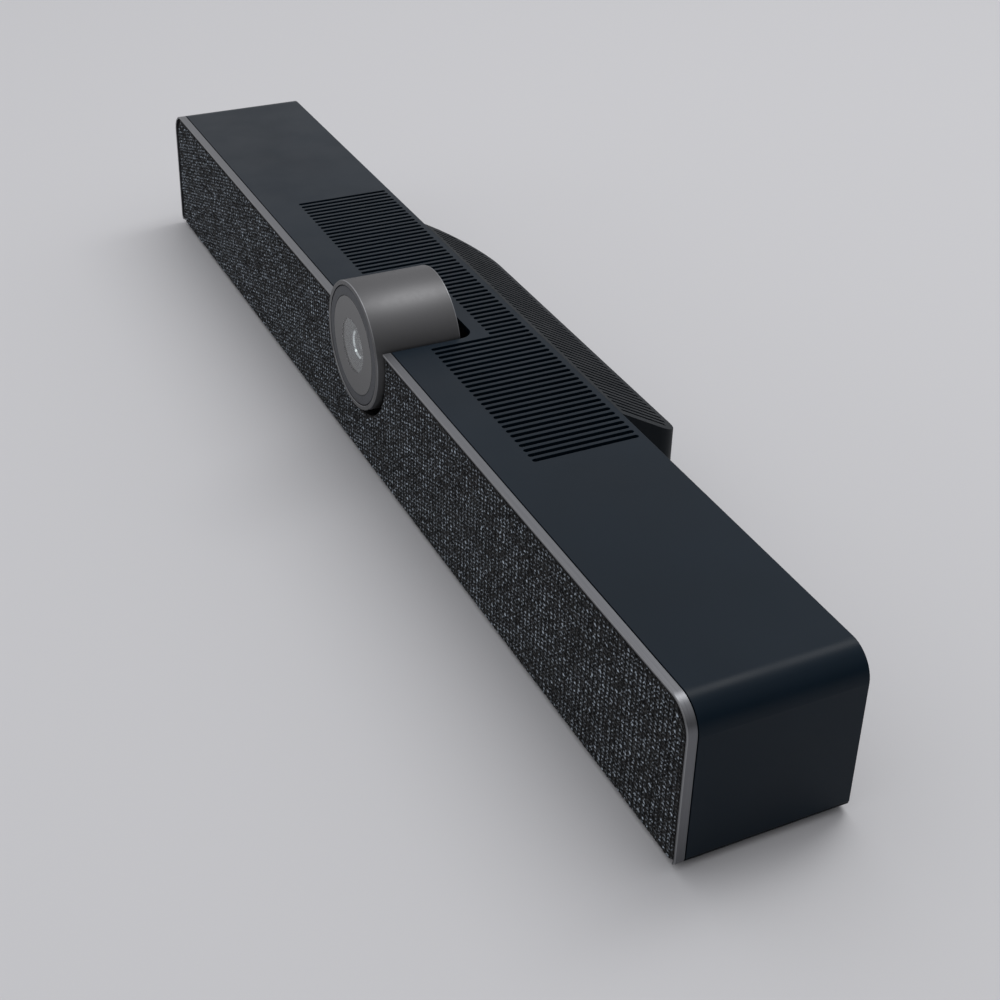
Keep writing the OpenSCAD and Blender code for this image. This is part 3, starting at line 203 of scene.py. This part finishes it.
class Finish:
    """One procedural material and short calls for its nodes"""

    def __init__(self, name, colour, roughness, metallic=0.0, specular=0.5):
        self.material = bpy.data.materials.new(name)
        self.material.use_nodes = True
        self.tree = self.material.node_tree
        self.shader = self.tree.nodes["Principled BSDF"]
        self.material.diffuse_color = tuple(colour)
        self.shader.inputs["Base Color"].default_value = tuple(colour)
        self.shader.inputs["Roughness"].default_value = roughness
        self.shader.inputs["Metallic"].default_value = metallic
        self.shader.inputs["Specular IOR Level"].default_value = specular
        self.place = self.add("ShaderNodeTexCoord").outputs["Object"]

    def feed(self, socket, value):
        if isinstance(value, bpy.types.NodeSocket):
            self.tree.links.new(value, socket)
        else:
            socket.default_value = value

    def add(self, kind, inputs=None, **options):
        node = self.tree.nodes.new(kind)
        for key, value in options.items():
            setattr(node, key, value)
        for key, value in (inputs or {}).items():
            self.feed(node.inputs[key], value)
        return node

    def math(self, operation, *values):
        node = self.add("ShaderNodeMath", operation=operation)
        for socket, value in zip(node.inputs, values):
            self.feed(socket, value)
        return node.outputs[0]

    def noise(self, per_metre, stretch=(1, 1, 1), detail=2.0, roughness=0.5):
        """Noise with so many grains to a metre, stretched along an axis by a factor under 1"""
        place = self.add("ShaderNodeMapping", {"Vector": self.place, "Scale": stretch}).outputs[0]
        node = self.add("ShaderNodeTexNoise", {"Vector": place, "Scale": per_metre,
                                               "Detail": detail, "Roughness": roughness})
        return node.outputs["Fac"]

    def span(self, value, low, high, to_low=0.0, to_high=1.0):
        return self.add("ShaderNodeMapRange", {"Value": value, "From Min": low, "From Max": high,
                                               "To Min": to_low, "To Max": to_high}).outputs[0]

    def mix(self, share, first, second):
        node = self.add("ShaderNodeMix", data_type="RGBA")
        sockets = node.inputs[0], node.inputs[6], node.inputs[7]    # factor and the two colours
        for socket, value in zip(sockets, (share, first, second)):
            self.feed(socket, value)
        return node.outputs[2]

    def colour(self, value):
        self.feed(self.shader.inputs["Base Color"], value)

    def mottle(self, value, colour, first, second):
        """Base colour that follows a noise from one shade of a colour to another"""
        self.colour(self.mix(self.span(value, 0.3, 0.7), shade(colour, first),
                             shade(colour, second)))

    def rough(self, value):
        self.feed(self.shader.inputs["Roughness"], value)

    def relief(self, height, depth, strength=1.0, edge=0.0):
        """Bump of a real depth in metres, over edges softened by a radius"""
        bump = self.add("ShaderNodeBump", {"Height": height, "Distance": depth,
                                           "Strength": strength})
        if edge:
            soft = self.add("ShaderNodeBevel", {"Radius": edge}, samples=6)
            self.feed(bump.inputs["Normal"], soft.outputs[0])
        self.feed(self.shader.inputs["Normal"], bump.outputs[0])


def shade(colour, factor):
    return tuple(c * factor for c in colour[:3]) + (1.0,)


def moulded(name, colour, roughness=0.42, specular=0.3, grain=2600, depth=0.006 * MM, edge=0.0):
    """Moulded plastic: fine spark grain, faint flow clouds and hand polish"""
    f = Finish(name, colour, roughness, specular=specular)
    f.mottle(f.noise(22, detail=3.0), colour, 0.9, 1.1)
    fine = f.noise(grain, detail=3.0, roughness=0.6)
    f.rough(f.span(f.noise(60, detail=4.0), 0.3, 0.7, roughness - 0.04, roughness + 0.05))
    f.relief(fine, depth, edge=edge)
    return f.material


def brushed(name, colour, roughness, stretch, grain=900, depth=0.003 * MM, contrast=0.1):
    """Metal with a grain drawn along the direction in which the stretch is small"""
    f = Finish(name, colour, roughness, metallic=1.0)
    lines = f.noise(grain, stretch=stretch, detail=3.0, roughness=0.65)
    f.mottle(lines, colour, 1 - contrast, 1 + contrast)
    f.rough(f.span(lines, 0.3, 0.7, roughness - 0.05, roughness + 0.06))
    f.relief(lines, depth)
    return f.material


def plated(name, colour, roughness=0.3, grain=700):
    """Plain metal of screws, shells and inserts, with a cloudy finish"""
    f = Finish(name, colour, roughness, metallic=1.0)
    cloud = f.noise(grain, detail=3.0)
    f.mottle(cloud, colour, 0.85, 1.1)
    f.rough(f.span(f.noise(grain / 3), 0.3, 0.7, 0.75 * roughness, 1.3 * roughness))
    f.relief(cloud, 0.002 * MM)
    return f.material


def laminate(name, colour):
    """Circuit board: solder mask over a weave, with lighter copper tracks"""
    f = Finish(name, colour, 0.4)
    tracks = f.add("ShaderNodeTexBrick", {"Vector": f.place, "Scale": 260.0, "Mortar Size": 0.03,
                                          "Color1": colour, "Color2": shade(colour, 0.9),
                                          "Mortar": shade(colour, 1.6)})
    f.colour(tracks.outputs["Color"])
    f.relief(f.noise(1500), 0.01 * MM)
    return f.material


def knitted(name, dark, light, low, high):
    """Heathered knit: light and dark strands on the loops, and black painted shade deep in the
    relief, where the loops open
    """
    f = Finish(name, dark, 0.85, specular=0.2)
    strands = f.noise(800, stretch=(1.0, 0.4, 0.7), roughness=0.6)
    share = f.math("ADD", f.span(strands, 0.43, 0.66),
                   f.span(f.noise(80), 0.35, 0.65, -0.12, 0.12))
    yarn = f.mix(f.math("MINIMUM", f.math("MAXIMUM", share, 0.0), 1.0), dark, light)
    depth = f.add("ShaderNodeSeparateXYZ", {"Vector": f.place}).outputs[1]
    # Painted shade: the yarn colour turns black with depth into the relief
    f.colour(f.mix(f.span(depth, low, high), GAP_SHADE_BLACK, yarn))
    f.shader.inputs["Sheen Weight"].default_value = 0.12
    f.shader.inputs["Sheen Roughness"].default_value = 0.5
    f.relief(f.noise(3800, stretch=(1.0, 0.5, 0.4)), 0.05 * MM, strength=0.6)
    return f.material


def clear(name, tint, ior):
    """Coated optical glass with a faintly cloudy tint"""
    f = Finish(name, tint, 0.0)
    f.shader.inputs["Transmission Weight"].default_value = 1.0
    f.shader.inputs["IOR"].default_value = ior
    f.mottle(f.noise(60), tint, 1.0, 0.94)
    return f.material


def printed(name, colour):
    """Glass over a black print: a dark mirror with the faintest haze"""
    f = Finish(name, colour, 0.05, specular=1.0)
    f.mottle(f.noise(60), colour, 1.0, 1.3)
    f.rough(f.span(f.noise(140, detail=4.0), 0.5, 0.8, 0.04, 0.08))
    return f.material


FINISHES = {}


def finish(name):
    """The named finish, made on its first use"""
    s = settings()
    makers = {
        "housing_satin": lambda n: moulded(n, s.housing_colour, 0.34, 0.12, edge=s.edge_radius),
        "rear_satin": lambda n: moulded(n, s.rear_colour, 0.5, 0.1, edge=s.edge_radius),
        "black_moulding": lambda n: moulded(n, tone(17, 19, 21), 0.5, 0.3),
        "frame_metal": lambda n: brushed(n, s.frame_colour, 0.36, (0.03, 4.0, 0.03)),
        "barrel_metal": lambda n: brushed(n, s.barrel_colour, 0.44, (0.3, 2.2, 0.3), grain=1300,
                                          depth=0.0015 * MM, contrast=0.03),
        "cut_metal": lambda n: brushed(n, tone(142, 143, 145), 0.34, (0.3, 2.2, 0.3)),
        "ring_metal": lambda n: brushed(n, tone(78, 80, 84), 0.45, (1, 0.2, 1), grain=1500,
                                        contrast=0.03),
        "inner_metal": lambda n: brushed(n, tone(60, 61, 63), 0.5, (0.3, 2.2, 0.3)),
        "cover_coating": lambda n: clear(n, tone(245, 250, 250), 1.52),
        "printed_glass": lambda n: printed(n, tone(7, 8, 9)),
        "lens_coating": lambda n: clear(n, tone(205, 216, 232), 1.6),
        "mask_black": lambda n: moulded(n, tone(11, 12, 13), 0.7, 0.05),
        "polished_ring": lambda n: plated(n, tone(246, 247, 248), 0.08),
        "plated_steel": lambda n: plated(n, tone(176, 178, 181)),
        "black_screw": lambda n: plated(n, tone(60, 62, 65), 0.42),
        "magnet_nickel": lambda n: plated(n, tone(120, 122, 128), 0.35),
        "sink_metal": lambda n: brushed(n, tone(66, 68, 71), 0.45, (1.0, 0.05, 1.0)),
        "turned_brass": lambda n: plated(n, tone(206, 170, 96)),
        "board_mask": lambda n: laminate(n, tone(18, 46, 38)),
        "chip_resin": lambda n: moulded(n, tone(34, 36, 39), 0.5),
        "pale_nylon": lambda n: moulded(n, tone(214, 210, 198), 0.5, 0.5),
        "bush_resin": lambda n: moulded(n, tone(206, 198, 170), 0.45, 0.4),
        "ribbon_film": lambda n: moulded(n, tone(34, 28, 22), 0.4, 0.4, grain=900),
        "cone_paper": lambda n: moulded(n, tone(44, 46, 49), 0.8, 0.2, grain=1200,
                                        depth=0.03 * MM),
        "pad_silicone": lambda n: moulded(n, tone(150, 168, 186), 0.7, 0.3),
        "foot_rubber": lambda n: moulded(n, tone(26, 26, 27), 0.75, 0.3, grain=1800,
                                         depth=0.02 * MM),
        "foam_rubber": lambda n: moulded(n, tone(20, 20, 21), 0.85, 0.2, grain=1500,
                                         depth=0.05 * MM),
    }
    if name not in FINISHES:
        FINISHES[name] = makers[name](name)
    return FINISHES[name]


# Finishes of the CAD nodes that keep their own mesh

CASING = {
    "housing_satin": ["housing"],
    "rear_satin": ["rear_cover", "bottom_cover"],
    "black_moulding": ["grille_frame", "camera_cradle"],
    "foot_rubber": ["rubber_feet"],
}
SMOOTHED = ("housing", "rear_cover", "bottom_cover", "camera_cradle", "grille_frame")
INSIDES = {
    "inner_metal": ["barrel_rear_cap"],
    "black_moulding": ["shutter_carrier", "shutter_blade", "lens_holder", "speaker_box_left",
                       "speaker_box_right", "dc_jack", "reset_button", "reset_switch"],
    "lens_coating": ["lens_rear_group"],
    "plated_steel": ["tilt_pins", "shutter_motor", "speaker_basket_left", "speaker_basket_right",
                     "shield_can", "hdmi_port", "ethernet_port", "usb_a_ports", "usb_c_port",
                     "security_slot_plate", "bottom_screws", "board_screws", "cradle_screws",
                     "driver_screws", "mic_capsules"],
    "black_screw": ["rear_screws"],
    "magnet_nickel": ["speaker_magnets"],
    "sink_metal": ["heat_sink"],
    "turned_brass": ["bracket_inserts", "tripod_insert"],
    "board_mask": ["sensor_board", "main_board", "mic_board"],
    "chip_resin": ["image_sensor", "processor", "memory_chips"],
    "pale_nylon": ["ribbon_connector"],
    "bush_resin": ["tilt_bushes"],
    "ribbon_film": ["camera_ribbon"],
    "cone_paper": ["speaker_cone_left", "speaker_cone_right"],
    "pad_silicone": ["thermal_pad"],
    "foot_rubber": ["speaker_surrounds"],
    "foam_rubber": ["mic_gaskets"],
}


def dress(table):
    """Gives CAD nodes their finishes through their own material slots"""
    for name, nodes in table.items():
        for node in nodes:
            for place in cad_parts[node].material_slots:
                place.material = finish(name)


def tidy_shading(node, angle=30):
    """Joins the split points of an imported node and keeps its sharp edges"""
    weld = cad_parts[node].modifiers.new("join_points", "WELD")
    weld.merge_threshold = 0.002 * MM
    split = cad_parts[node].modifiers.new("sharp_edges", "EDGE_SPLIT")
    split.split_angle = math.radians(angle)


# Meshes

def piece(name, points, faces, material, body, slot, replaced=(), smooth=35):
    """A mesh piece that rides on a body and stands for CAD nodes"""
    mesh = bpy.data.meshes.new(name)
    mesh.from_pydata([tuple(p) for p in points], [], [tuple(f) for f in faces])
    build = bmesh.new()
    build.from_mesh(mesh)
    bmesh.ops.remove_doubles(build, verts=build.verts, dist=1e-6)
    bmesh.ops.recalc_face_normals(build, faces=build.faces)
    build.to_mesh(mesh)
    build.free()
    mesh.polygons.foreach_set("use_smooth", [True] * len(mesh.polygons))
    mesh.set_sharp_from_angle(angle=math.radians(smooth))
    mesh.materials.append(material)
    thing = bpy.data.objects.new(name, mesh)
    bpy.context.scene.collection.objects.link(thing)
    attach(thing, body)
    if replaced:
        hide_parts(*replaced)
    return thing


def strip(first, second, count):
    """Faces between two rings of points, each given by its place in the list of rings"""
    return [(first * count + j, first * count + (j + 1) % count,
             second * count + (j + 1) % count, second * count + j) for j in range(count)]


def turned(outline, axis_z, steps):
    """A closed outline of (radius, depth) turned about the barrel's axis direction"""
    angles = np.linspace(0, 2 * math.pi, steps, endpoint=False)
    points = [(r * math.sin(a), y, axis_z + r * math.cos(a)) for a in angles for r, y in outline]
    faces = [face for i in range(steps) for face in strip(i, (i + 1) % steps, len(outline))]
    return points, faces


def is_chamfer(face):
    return CHAMFER_LEAN[0] < abs(face.normal.y) < CHAMFER_LEAN[1]


def rest_size(node):
    """Half width, middle height, front and back of a round CAD node"""
    low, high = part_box(node)
    return (high.x - low.x) / 2, (high.z + low.z) / 2, low.y, high.y


def outline_distance(x, z, half, low, high):
    """Signed distance to the front's rounded outline, negative inside"""
    def box_part(radius):
        dx = np.abs(x) - (half - radius)
        dz = np.maximum(z - (high - radius), (low + radius) - z)
        outside = np.hypot(np.maximum(dx, 0), np.maximum(dz, 0))
        return outside + np.minimum(np.maximum(dx, dz), 0) - radius
    return np.where(z > (low + high) / 2, box_part(TOP_CORNER), box_part(LOW_CORNER))


def opening_distance(x, z, centre_z, radius):
    """Signed distance to the U-shaped camera opening, negative in the opening"""
    return np.where(z < centre_z, np.hypot(x, z - centre_z), np.abs(x)) - radius


class BAR_OT_knit_cover(bpy.types.Operator):
    """Make the stretched knit front from rows of open loops"""
    bl_idname = "camera_bar.knit_cover"
    bl_label = "Knit front"

    def execute(self, context):
        s = settings()
        low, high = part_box("fabric_cover")
        low.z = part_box("front_bezel")[0].z + KNIT_FOOT
        centre_z = rest_size("barrel_tube")[1] - SLOT_DROP
        step_x, step_z = s.wale_pitch / WALE_POINTS, s.course_pitch / COURSE_POINTS
        front = low.y + KNIT_FRONT
        columns = int(math.ceil(high.x / step_x)) + 1
        rows = int(math.ceil((high.z - low.z) / step_z)) + 2
        column, row = np.meshgrid(np.arange(-columns, columns + 1), np.arange(rows), indexing="ij")

        # Every second column of loops is half a loop higher
        across = column % WALE_POINTS
        up = (row + COURSE_POINTS // 2 * ((column // WALE_POINTS) % 2)) % COURSE_POINTS
        slant = (up - (COURSE_POINTS - 1) / 2) * STRAND_LEAN * s.wale_pitch
        stray = STRAND_STRAY * s.wale_pitch
        random = np.random.default_rng(KNIT_SEED)
        x = column * step_x + STRAND_SIDE[across] * slant + random.normal(0, stray, column.shape)
        z = low.z - step_z + row * step_z + random.normal(0, stray, column.shape)
        loops = np.clip(random.normal(LOOP_MEAN, LOOP_SPREAD, column.shape), LOOP_LEAST, LOOP_MOST)
        height = STRAND_RISE[across] * COURSE_RISE[up] * loops

        def distance(px, pz):
            outer = outline_distance(px, pz, high.x, low.z, high.z)
            return np.maximum(outer, -opening_distance(px, pz, centre_z, SLOT_HALF))

        # Points past the outline are drawn back on to it
        kept = distance((x[:-1, :-1] + x[1:, 1:]) / 2, (z[:-1, :-1] + z[1:, 1:]) / 2) < 0
        reach = step_x / 10
        for _ in range(3):
            out = distance(x, z)
            gx = (distance(x + reach, z) - out) / reach
            gz = (distance(x, z + reach) - out) / reach
            out = np.clip(out, 0, 3 * step_x)
            x, z = x - out * gx, z - out * gz
        # Near the rim the loops sink deeper, so the black painted shade darkens the knit there
        fade = KNIT_EDGE + (1 - KNIT_EDGE) * np.clip(-distance(x, z) / KNIT_FADE, 0, 1)
        y = front + s.knit_relief * (1 - height * fade)

        index = np.arange(x.size).reshape(x.shape)
        quads = np.stack([index[:-1, :-1], index[1:, :-1], index[1:, 1:], index[:-1, 1:]],
                         -1)[kept]
        used, quads = np.unique(quads, return_inverse=True)
        quads = quads.reshape(-1, 4)
        points = np.stack([x.ravel(), y.ravel(), z.ravel()], -1)[used]

        # The rim is turned in towards the baffle
        sides = {(a, b): 1 for j in range(4) for a, b in quads[:, [j, (j + 1) % 4]]}
        rim = [(a, b) for a, b in sides if (b, a) not in sides]
        ends = sorted({a for side in rim for a in side})
        turned_in = {a: len(points) + i for i, a in enumerate(ends)}
        back = points[ends].copy()
        back[:, 1] = high.y - KNIT_BACK
        faces = [tuple(q) for q in quads]
        faces += [(b, a, turned_in[a], turned_in[b]) for a, b in rim]
        material = knitted("heathered_knit", s.yarn_dark, s.yarn_light,
                           front + GAP_DEPTH * s.knit_relief, front + LOOP_DEPTH * s.knit_relief)
        cover = piece("knit_cover", np.concatenate([points, back]), faces, material, "bar",
                      "knit_fabric", ["fabric_cover"], smooth=180)
        return {"FINISHED"}


class BAR_OT_front_frame(bpy.types.Operator):
    """Make the brushed metal frame round the front, with its cut edges"""
    bl_idname = "camera_bar.front_frame"
    bl_label = "Front frame"

    def execute(self, context):
        low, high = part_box("front_bezel")
        cut = settings().frame_chamfer
        step = low.y + FRAME_STEP
        section = [(0, low.y + cut), (0, high.y - cut / 2), (cut / 2, high.y),
                   (FRAME_FACE, high.y), (FRAME_FACE, step), (FRAME_RIM + STEP_LEAN, step),
                   (FRAME_RIM, low.y + cut / 2), (FRAME_RIM - cut / 2, low.y), (cut, low.y)]
        stations = [((-SLOT_HALF, high.z - TOP_CORNER), (0, 1), TOP_CORNER, 0)]
        top, foot = high.z - TOP_CORNER, low.z + LOW_CORNER
        corners = [(-1, top, TOP_CORNER, 90, 180, TOP_ARC), (-1, foot, LOW_CORNER, 180, 270, LOW_ARC),
                   (1, foot, LOW_CORNER, 270, 360, LOW_ARC), (1, top, TOP_CORNER, 0, 90, TOP_ARC)]
        for side, level, radius, first, last, steps in corners:
            centre = (side * (high.x - radius), level)
            for turn in np.radians(np.linspace(first, last, steps + 1)):
                share = (-math.sin(turn) - SINK_START) / (1 - SINK_START)
                stations.append((centre, (math.cos(turn), math.sin(turn)), radius,
                                 FRAME_SINK * min(max(share, 0), 1)))
        stations.append(((SLOT_HALF, high.z - TOP_CORNER), (0, 1), TOP_CORNER, 0))
        points = [(c[0] + n[0] * (r - inset), y + (sunk if y < step else 0),
                   c[1] + n[1] * (r - inset))
                  for c, n, r, sunk in stations for inset, y in section]
        count, last = len(section), len(stations) - 1
        faces = [face for i in range(last) for face in strip(i, i + 1, count)]
        faces += [tuple(range(count)), tuple(range(last * count, (last + 1) * count))]
        thing = piece("front_frame", points, faces, finish("frame_metal"), "bar",
                      "anodised_metal", ["front_bezel"])
        # The black moulding here is painted shade for the step's recess
        thing.data.materials.append(finish("black_moulding"))
        thing.data.materials.append(finish("cut_metal"))
        for face in thing.data.polygons:
            # Painted shade: front-facing faces on the step's recessed shelf take the black moulding
            painted_shade_shelf = all(thing.data.vertices[i].co.y > step - TOUCH for i in face.vertices)
            if painted_shade_shelf and face.normal.y < -0.5:
                face.material_index = 1
            elif is_chamfer(face):
                face.material_index = 2
        return {"FINISHED"}


class BAR_OT_camera_barrel(bpy.types.Operator):
    """Turn the camera barrel and the ring round its glass"""
    bl_idname = "camera_bar.barrel"
    bl_label = "Camera barrel"

    def execute(self, context):
        steps = settings().turning_steps
        radius, axis_z, front, back = rest_size("barrel_tube")
        shell = [(radius - TUBE_WALL, front + BROKEN_EDGE),
                 (radius - TUBE_WALL + BROKEN_EDGE, front)]
        shell += [(radius - inset * MM, front + depth * MM) for inset, depth in NOSE]
        shell += [(radius - inset * MM, back - depth * MM) for inset, depth in TAIL]
        shell += [(radius - TUBE_WALL, back)]
        thing = piece("barrel_shell", *turned(shell, axis_z, steps), finish("barrel_metal"),
                      "camera", "barrel_metal", ["barrel_tube"])
        thing.data.materials.append(finish("cut_metal"))
        for face in thing.data.polygons:
            face.material_index = 1 if is_chamfer(face) else 0
        radius, _, front, back = rest_size("barrel_front_ring")
        glass_radius = rest_size("cover_glass")[0]
        ring = [(glass_radius + SEAT_GAP, front + SEAT_GAP), (glass_radius + 2 * SEAT_GAP, front),
                (radius - RING_EDGE, front), (radius, front + RING_EDGE),
                (radius, back), (glass_radius - SEAT_LIP, back),
                (glass_radius - SEAT_LIP, front + SEAT_DEPTH),
                (glass_radius + SEAT_GAP, front + SEAT_DEPTH)]
        piece("glass_ring", *turned(ring, axis_z, steps), finish("ring_metal"), "camera",
              "anodised_metal", ["barrel_front_ring"])
        return {"FINISHED"}


class BAR_OT_lens(bpy.types.Operator):
    """Turn the cover glass, the mask, the front lens and its bright ring"""
    bl_idname = "camera_bar.lens"
    bl_label = "Glass and lens"

    def execute(self, context):
        steps = settings().turning_steps
        radius, axis_z, front, back = rest_size("cover_glass")
        back -= GLASS_GAP
        glass = [(0, front), (MASK_OPENING, front), (radius - BROKEN_EDGE, front),
                 (radius, front + BROKEN_EDGE), (radius, back), (MASK_OPENING, back), (0, back)]
        disc = piece("cover_glass_disc", *turned(glass, axis_z, steps), finish("cover_coating"),
                     "camera", "dark_glass", ["cover_glass"])
        disc.data.materials.append(finish("printed_glass"))
        for face in disc.data.polygons:
            corners = [disc.data.vertices[i].co for i in face.vertices]
            reach = min(math.hypot(corner.x, corner.z - axis_z) for corner in corners)
            face.material_index = 1 if reach > MASK_OPENING - TOUCH else 0
        radius, _, front, back = rest_size("lens_mask")
        mask = [(MASK_OPENING, front), (radius, front), (radius, back), (MASK_OPENING, back)]
        piece("mask_ring", *turned(mask, axis_z, steps), finish("mask_black"), "camera",
              "black_plastic", ["lens_mask"])
        radius, _, front, back = rest_size("lens_retaining_ring")
        ring = [(radius - LENS_RING_EDGE, front), (radius, front + LENS_RING_EDGE),
                (radius, back), (radius - LENS_RING_WIDTH, back),
                (radius - LENS_RING_WIDTH, front + CONE_DEPTH)]
        piece("lens_bright_ring", *turned(ring, axis_z, steps), finish("polished_ring"), "camera",
              "steel", ["lens_retaining_ring"])
        radius, _, front, back = rest_size("lens_front_element")
        bulge = [(r, front + LENS_DOME - math.sqrt(LENS_DOME ** 2 - r ** 2))
                 for r in np.linspace(0, radius, DOME_POINTS)]
        piece("front_lens", *turned(bulge + [(radius, back), (0, back)], axis_z, steps // 2),
              finish("lens_coating"), "camera", "lens_glass", ["lens_front_element"])
        return {"FINISHED"}


class BAR_OT_casing(bpy.types.Operator):
    """Give the housing, covers and feet their satin and rubber finishes"""
    bl_idname = "camera_bar.casing"
    bl_label = "Casing finishes"

    def execute(self, context):
        dress(CASING)
        for node in SMOOTHED:
            tidy_shading(node)
        return {"FINISHED"}


class BAR_OT_insides(bpy.types.Operator):
    """Give the camera's, speakers' and boards' inner pieces their finishes"""
    bl_idname = "camera_bar.insides"
    bl_label = "Inner finishes"

    def execute(self, context):
        dress(INSIDES)
        return {"FINISHED"}


class BAR_OT_studio(bpy.types.Operator):
    """Make the pale floor, the soft light and the camera"""
    bl_idname = "camera_bar.studio"
    bl_label = "Studio"

    def execute(self, context):
        s = settings()
        self.camera()
        self.floor(s)
        self.room(s)
        for name, place, size, share in SOFTBOXES:
            self.softbox(name, place, size, s.lamp_light * share)
        context.scene.view_settings.view_transform = "Standard"
        return {"FINISHED"}

    def floor(self, s):
        half = FLOOR_HALF
        mesh = bpy.data.meshes.new("floor")
        corners = [(-half, -half, 0), (half, -half, 0), (half, half, 0), (-half, half, 0)]
        mesh.from_pydata(corners, [], [(0, 1, 2, 3)])
        floor = bpy.data.objects.new("floor", mesh)
        bpy.context.scene.collection.objects.link(floor)
        f = Finish("pale_table", s.floor_far, 0.6, specular=0.2)
        across = f.add("ShaderNodeVectorMath", {0: f.place, 1: FLOOR_ACROSS},
                       operation="DOT_PRODUCT").outputs["Value"]
        # Painted light falloff: the floor's tone runs from the far colour to the near one
        f.colour(f.mix(f.span(across, -FLOOR_REACH, FLOOR_REACH), s.floor_far, s.floor_near))
        mesh.materials.append(f.material)

    def room(self, s):
        """Even light that is strongest from one direction"""
        world = bpy.data.worlds.new("room")
        world.use_nodes = True
        tree = world.node_tree
        background = tree.nodes["Background"]
        background.inputs["Color"].default_value = tone(240, 240, 243)
        lean = tree.nodes.new("ShaderNodeVectorMath")
        lean.operation = "DOT_PRODUCT"
        lean.inputs[1].default_value = ROOM_LEAN
        around = tree.nodes.new("ShaderNodeTexCoord").outputs["Generated"]
        tree.links.new(around, lean.inputs[0])
        rise = tree.nodes.new("ShaderNodeMapRange")
        tree.links.new(lean.outputs["Value"], rise.inputs["Value"])
        rise.inputs["From Min"].default_value = ROOM_START
        rise.inputs["To Min"].default_value = ROOM_LOW * s.world_light
        rise.inputs["To Max"].default_value = ROOM_HIGH * s.world_light
        tree.links.new(rise.outputs[0], background.inputs["Strength"])
        bpy.context.scene.world = world

    def softbox(self, name, place, size, power):
        lamp = bpy.data.lights.new(name, "AREA")
        lamp.shape, lamp.energy = "RECTANGLE", power
        lamp.size, lamp.size_y = size
        holder = bpy.data.objects.new(name, lamp)
        holder.location = place
        holder.rotation_euler = (-Vector(place)).to_track_quat("-Z", "Y").to_euler()
        bpy.context.scene.collection.objects.link(holder)

    def camera(self):
        turn, rise, roll = (math.radians(angle) for angle in (VIEW_TURN, VIEW_RISE, VIEW_ROLL))
        target, distance = Vector([c * MM for c in VIEW_TARGET]), VIEW_DISTANCE * MM
        back = Vector((math.sin(turn) * math.cos(rise), -math.cos(turn) * math.cos(rise),
                       math.sin(rise)))
        right = (-back).cross(Vector((0, 0, 1))).normalized()
        down = (-back).cross(right)
        right, down = (right * math.cos(roll) + down * math.sin(roll),
                       down * math.cos(roll) - right * math.sin(roll))
        data = bpy.data.cameras.new("viewpoint")
        data.sensor_fit, data.sensor_width = "HORIZONTAL", SENSOR_WIDTH
        data.lens = VIEW_FOCUS * SENSOR_WIDTH / VIEW_PIXELS
        data.shift_y = VIEW_SHIFT
        data.clip_start, data.clip_end = CLIP_START, CLIP_END
        camera = bpy.data.objects.new("viewpoint", data)
        spin = Matrix((right, -down, back)).transposed()
        camera.matrix_world = Matrix.Translation(target + back * distance) @ spin.to_4x4()
        bpy.context.scene.collection.objects.link(camera)
        bpy.context.scene.camera = camera


class BAR_PT_pieces(bpy.types.Panel):
    """Lists the pieces of the bar and the sizes and colours behind them"""
    bl_label = "Camera Bar"
    bl_idname = "BAR_PT_pieces"
    bl_space_type = "VIEW_3D"
    bl_region_type = "UI"
    bl_category = "Camera Bar"

    def draw(self, context):
        for name in BarSettings.__annotations__:
            self.layout.prop(context.scene.camera_bar, name)
        for operator in OPERATORS:
            self.layout.operator(operator.bl_idname)


OPERATORS = (BAR_OT_casing, BAR_OT_insides, BAR_OT_knit_cover, BAR_OT_front_frame,
             BAR_OT_camera_barrel, BAR_OT_lens, BAR_OT_studio)
CLASSES = (BarSettings, *OPERATORS, BAR_PT_pieces)


def register():
    for kind in CLASSES:
        bpy.utils.register_class(kind)
    bpy.types.Scene.camera_bar = PointerProperty(type=BarSettings)


def unregister():
    del bpy.types.Scene.camera_bar
    for kind in reversed(CLASSES):
        bpy.utils.unregister_class(kind)


def main():
    register()
    for operator in OPERATORS:
        group, name = operator.bl_idname.split(".")
        getattr(getattr(bpy.ops, group), name)()


if __name__ == "__main__":
    main()
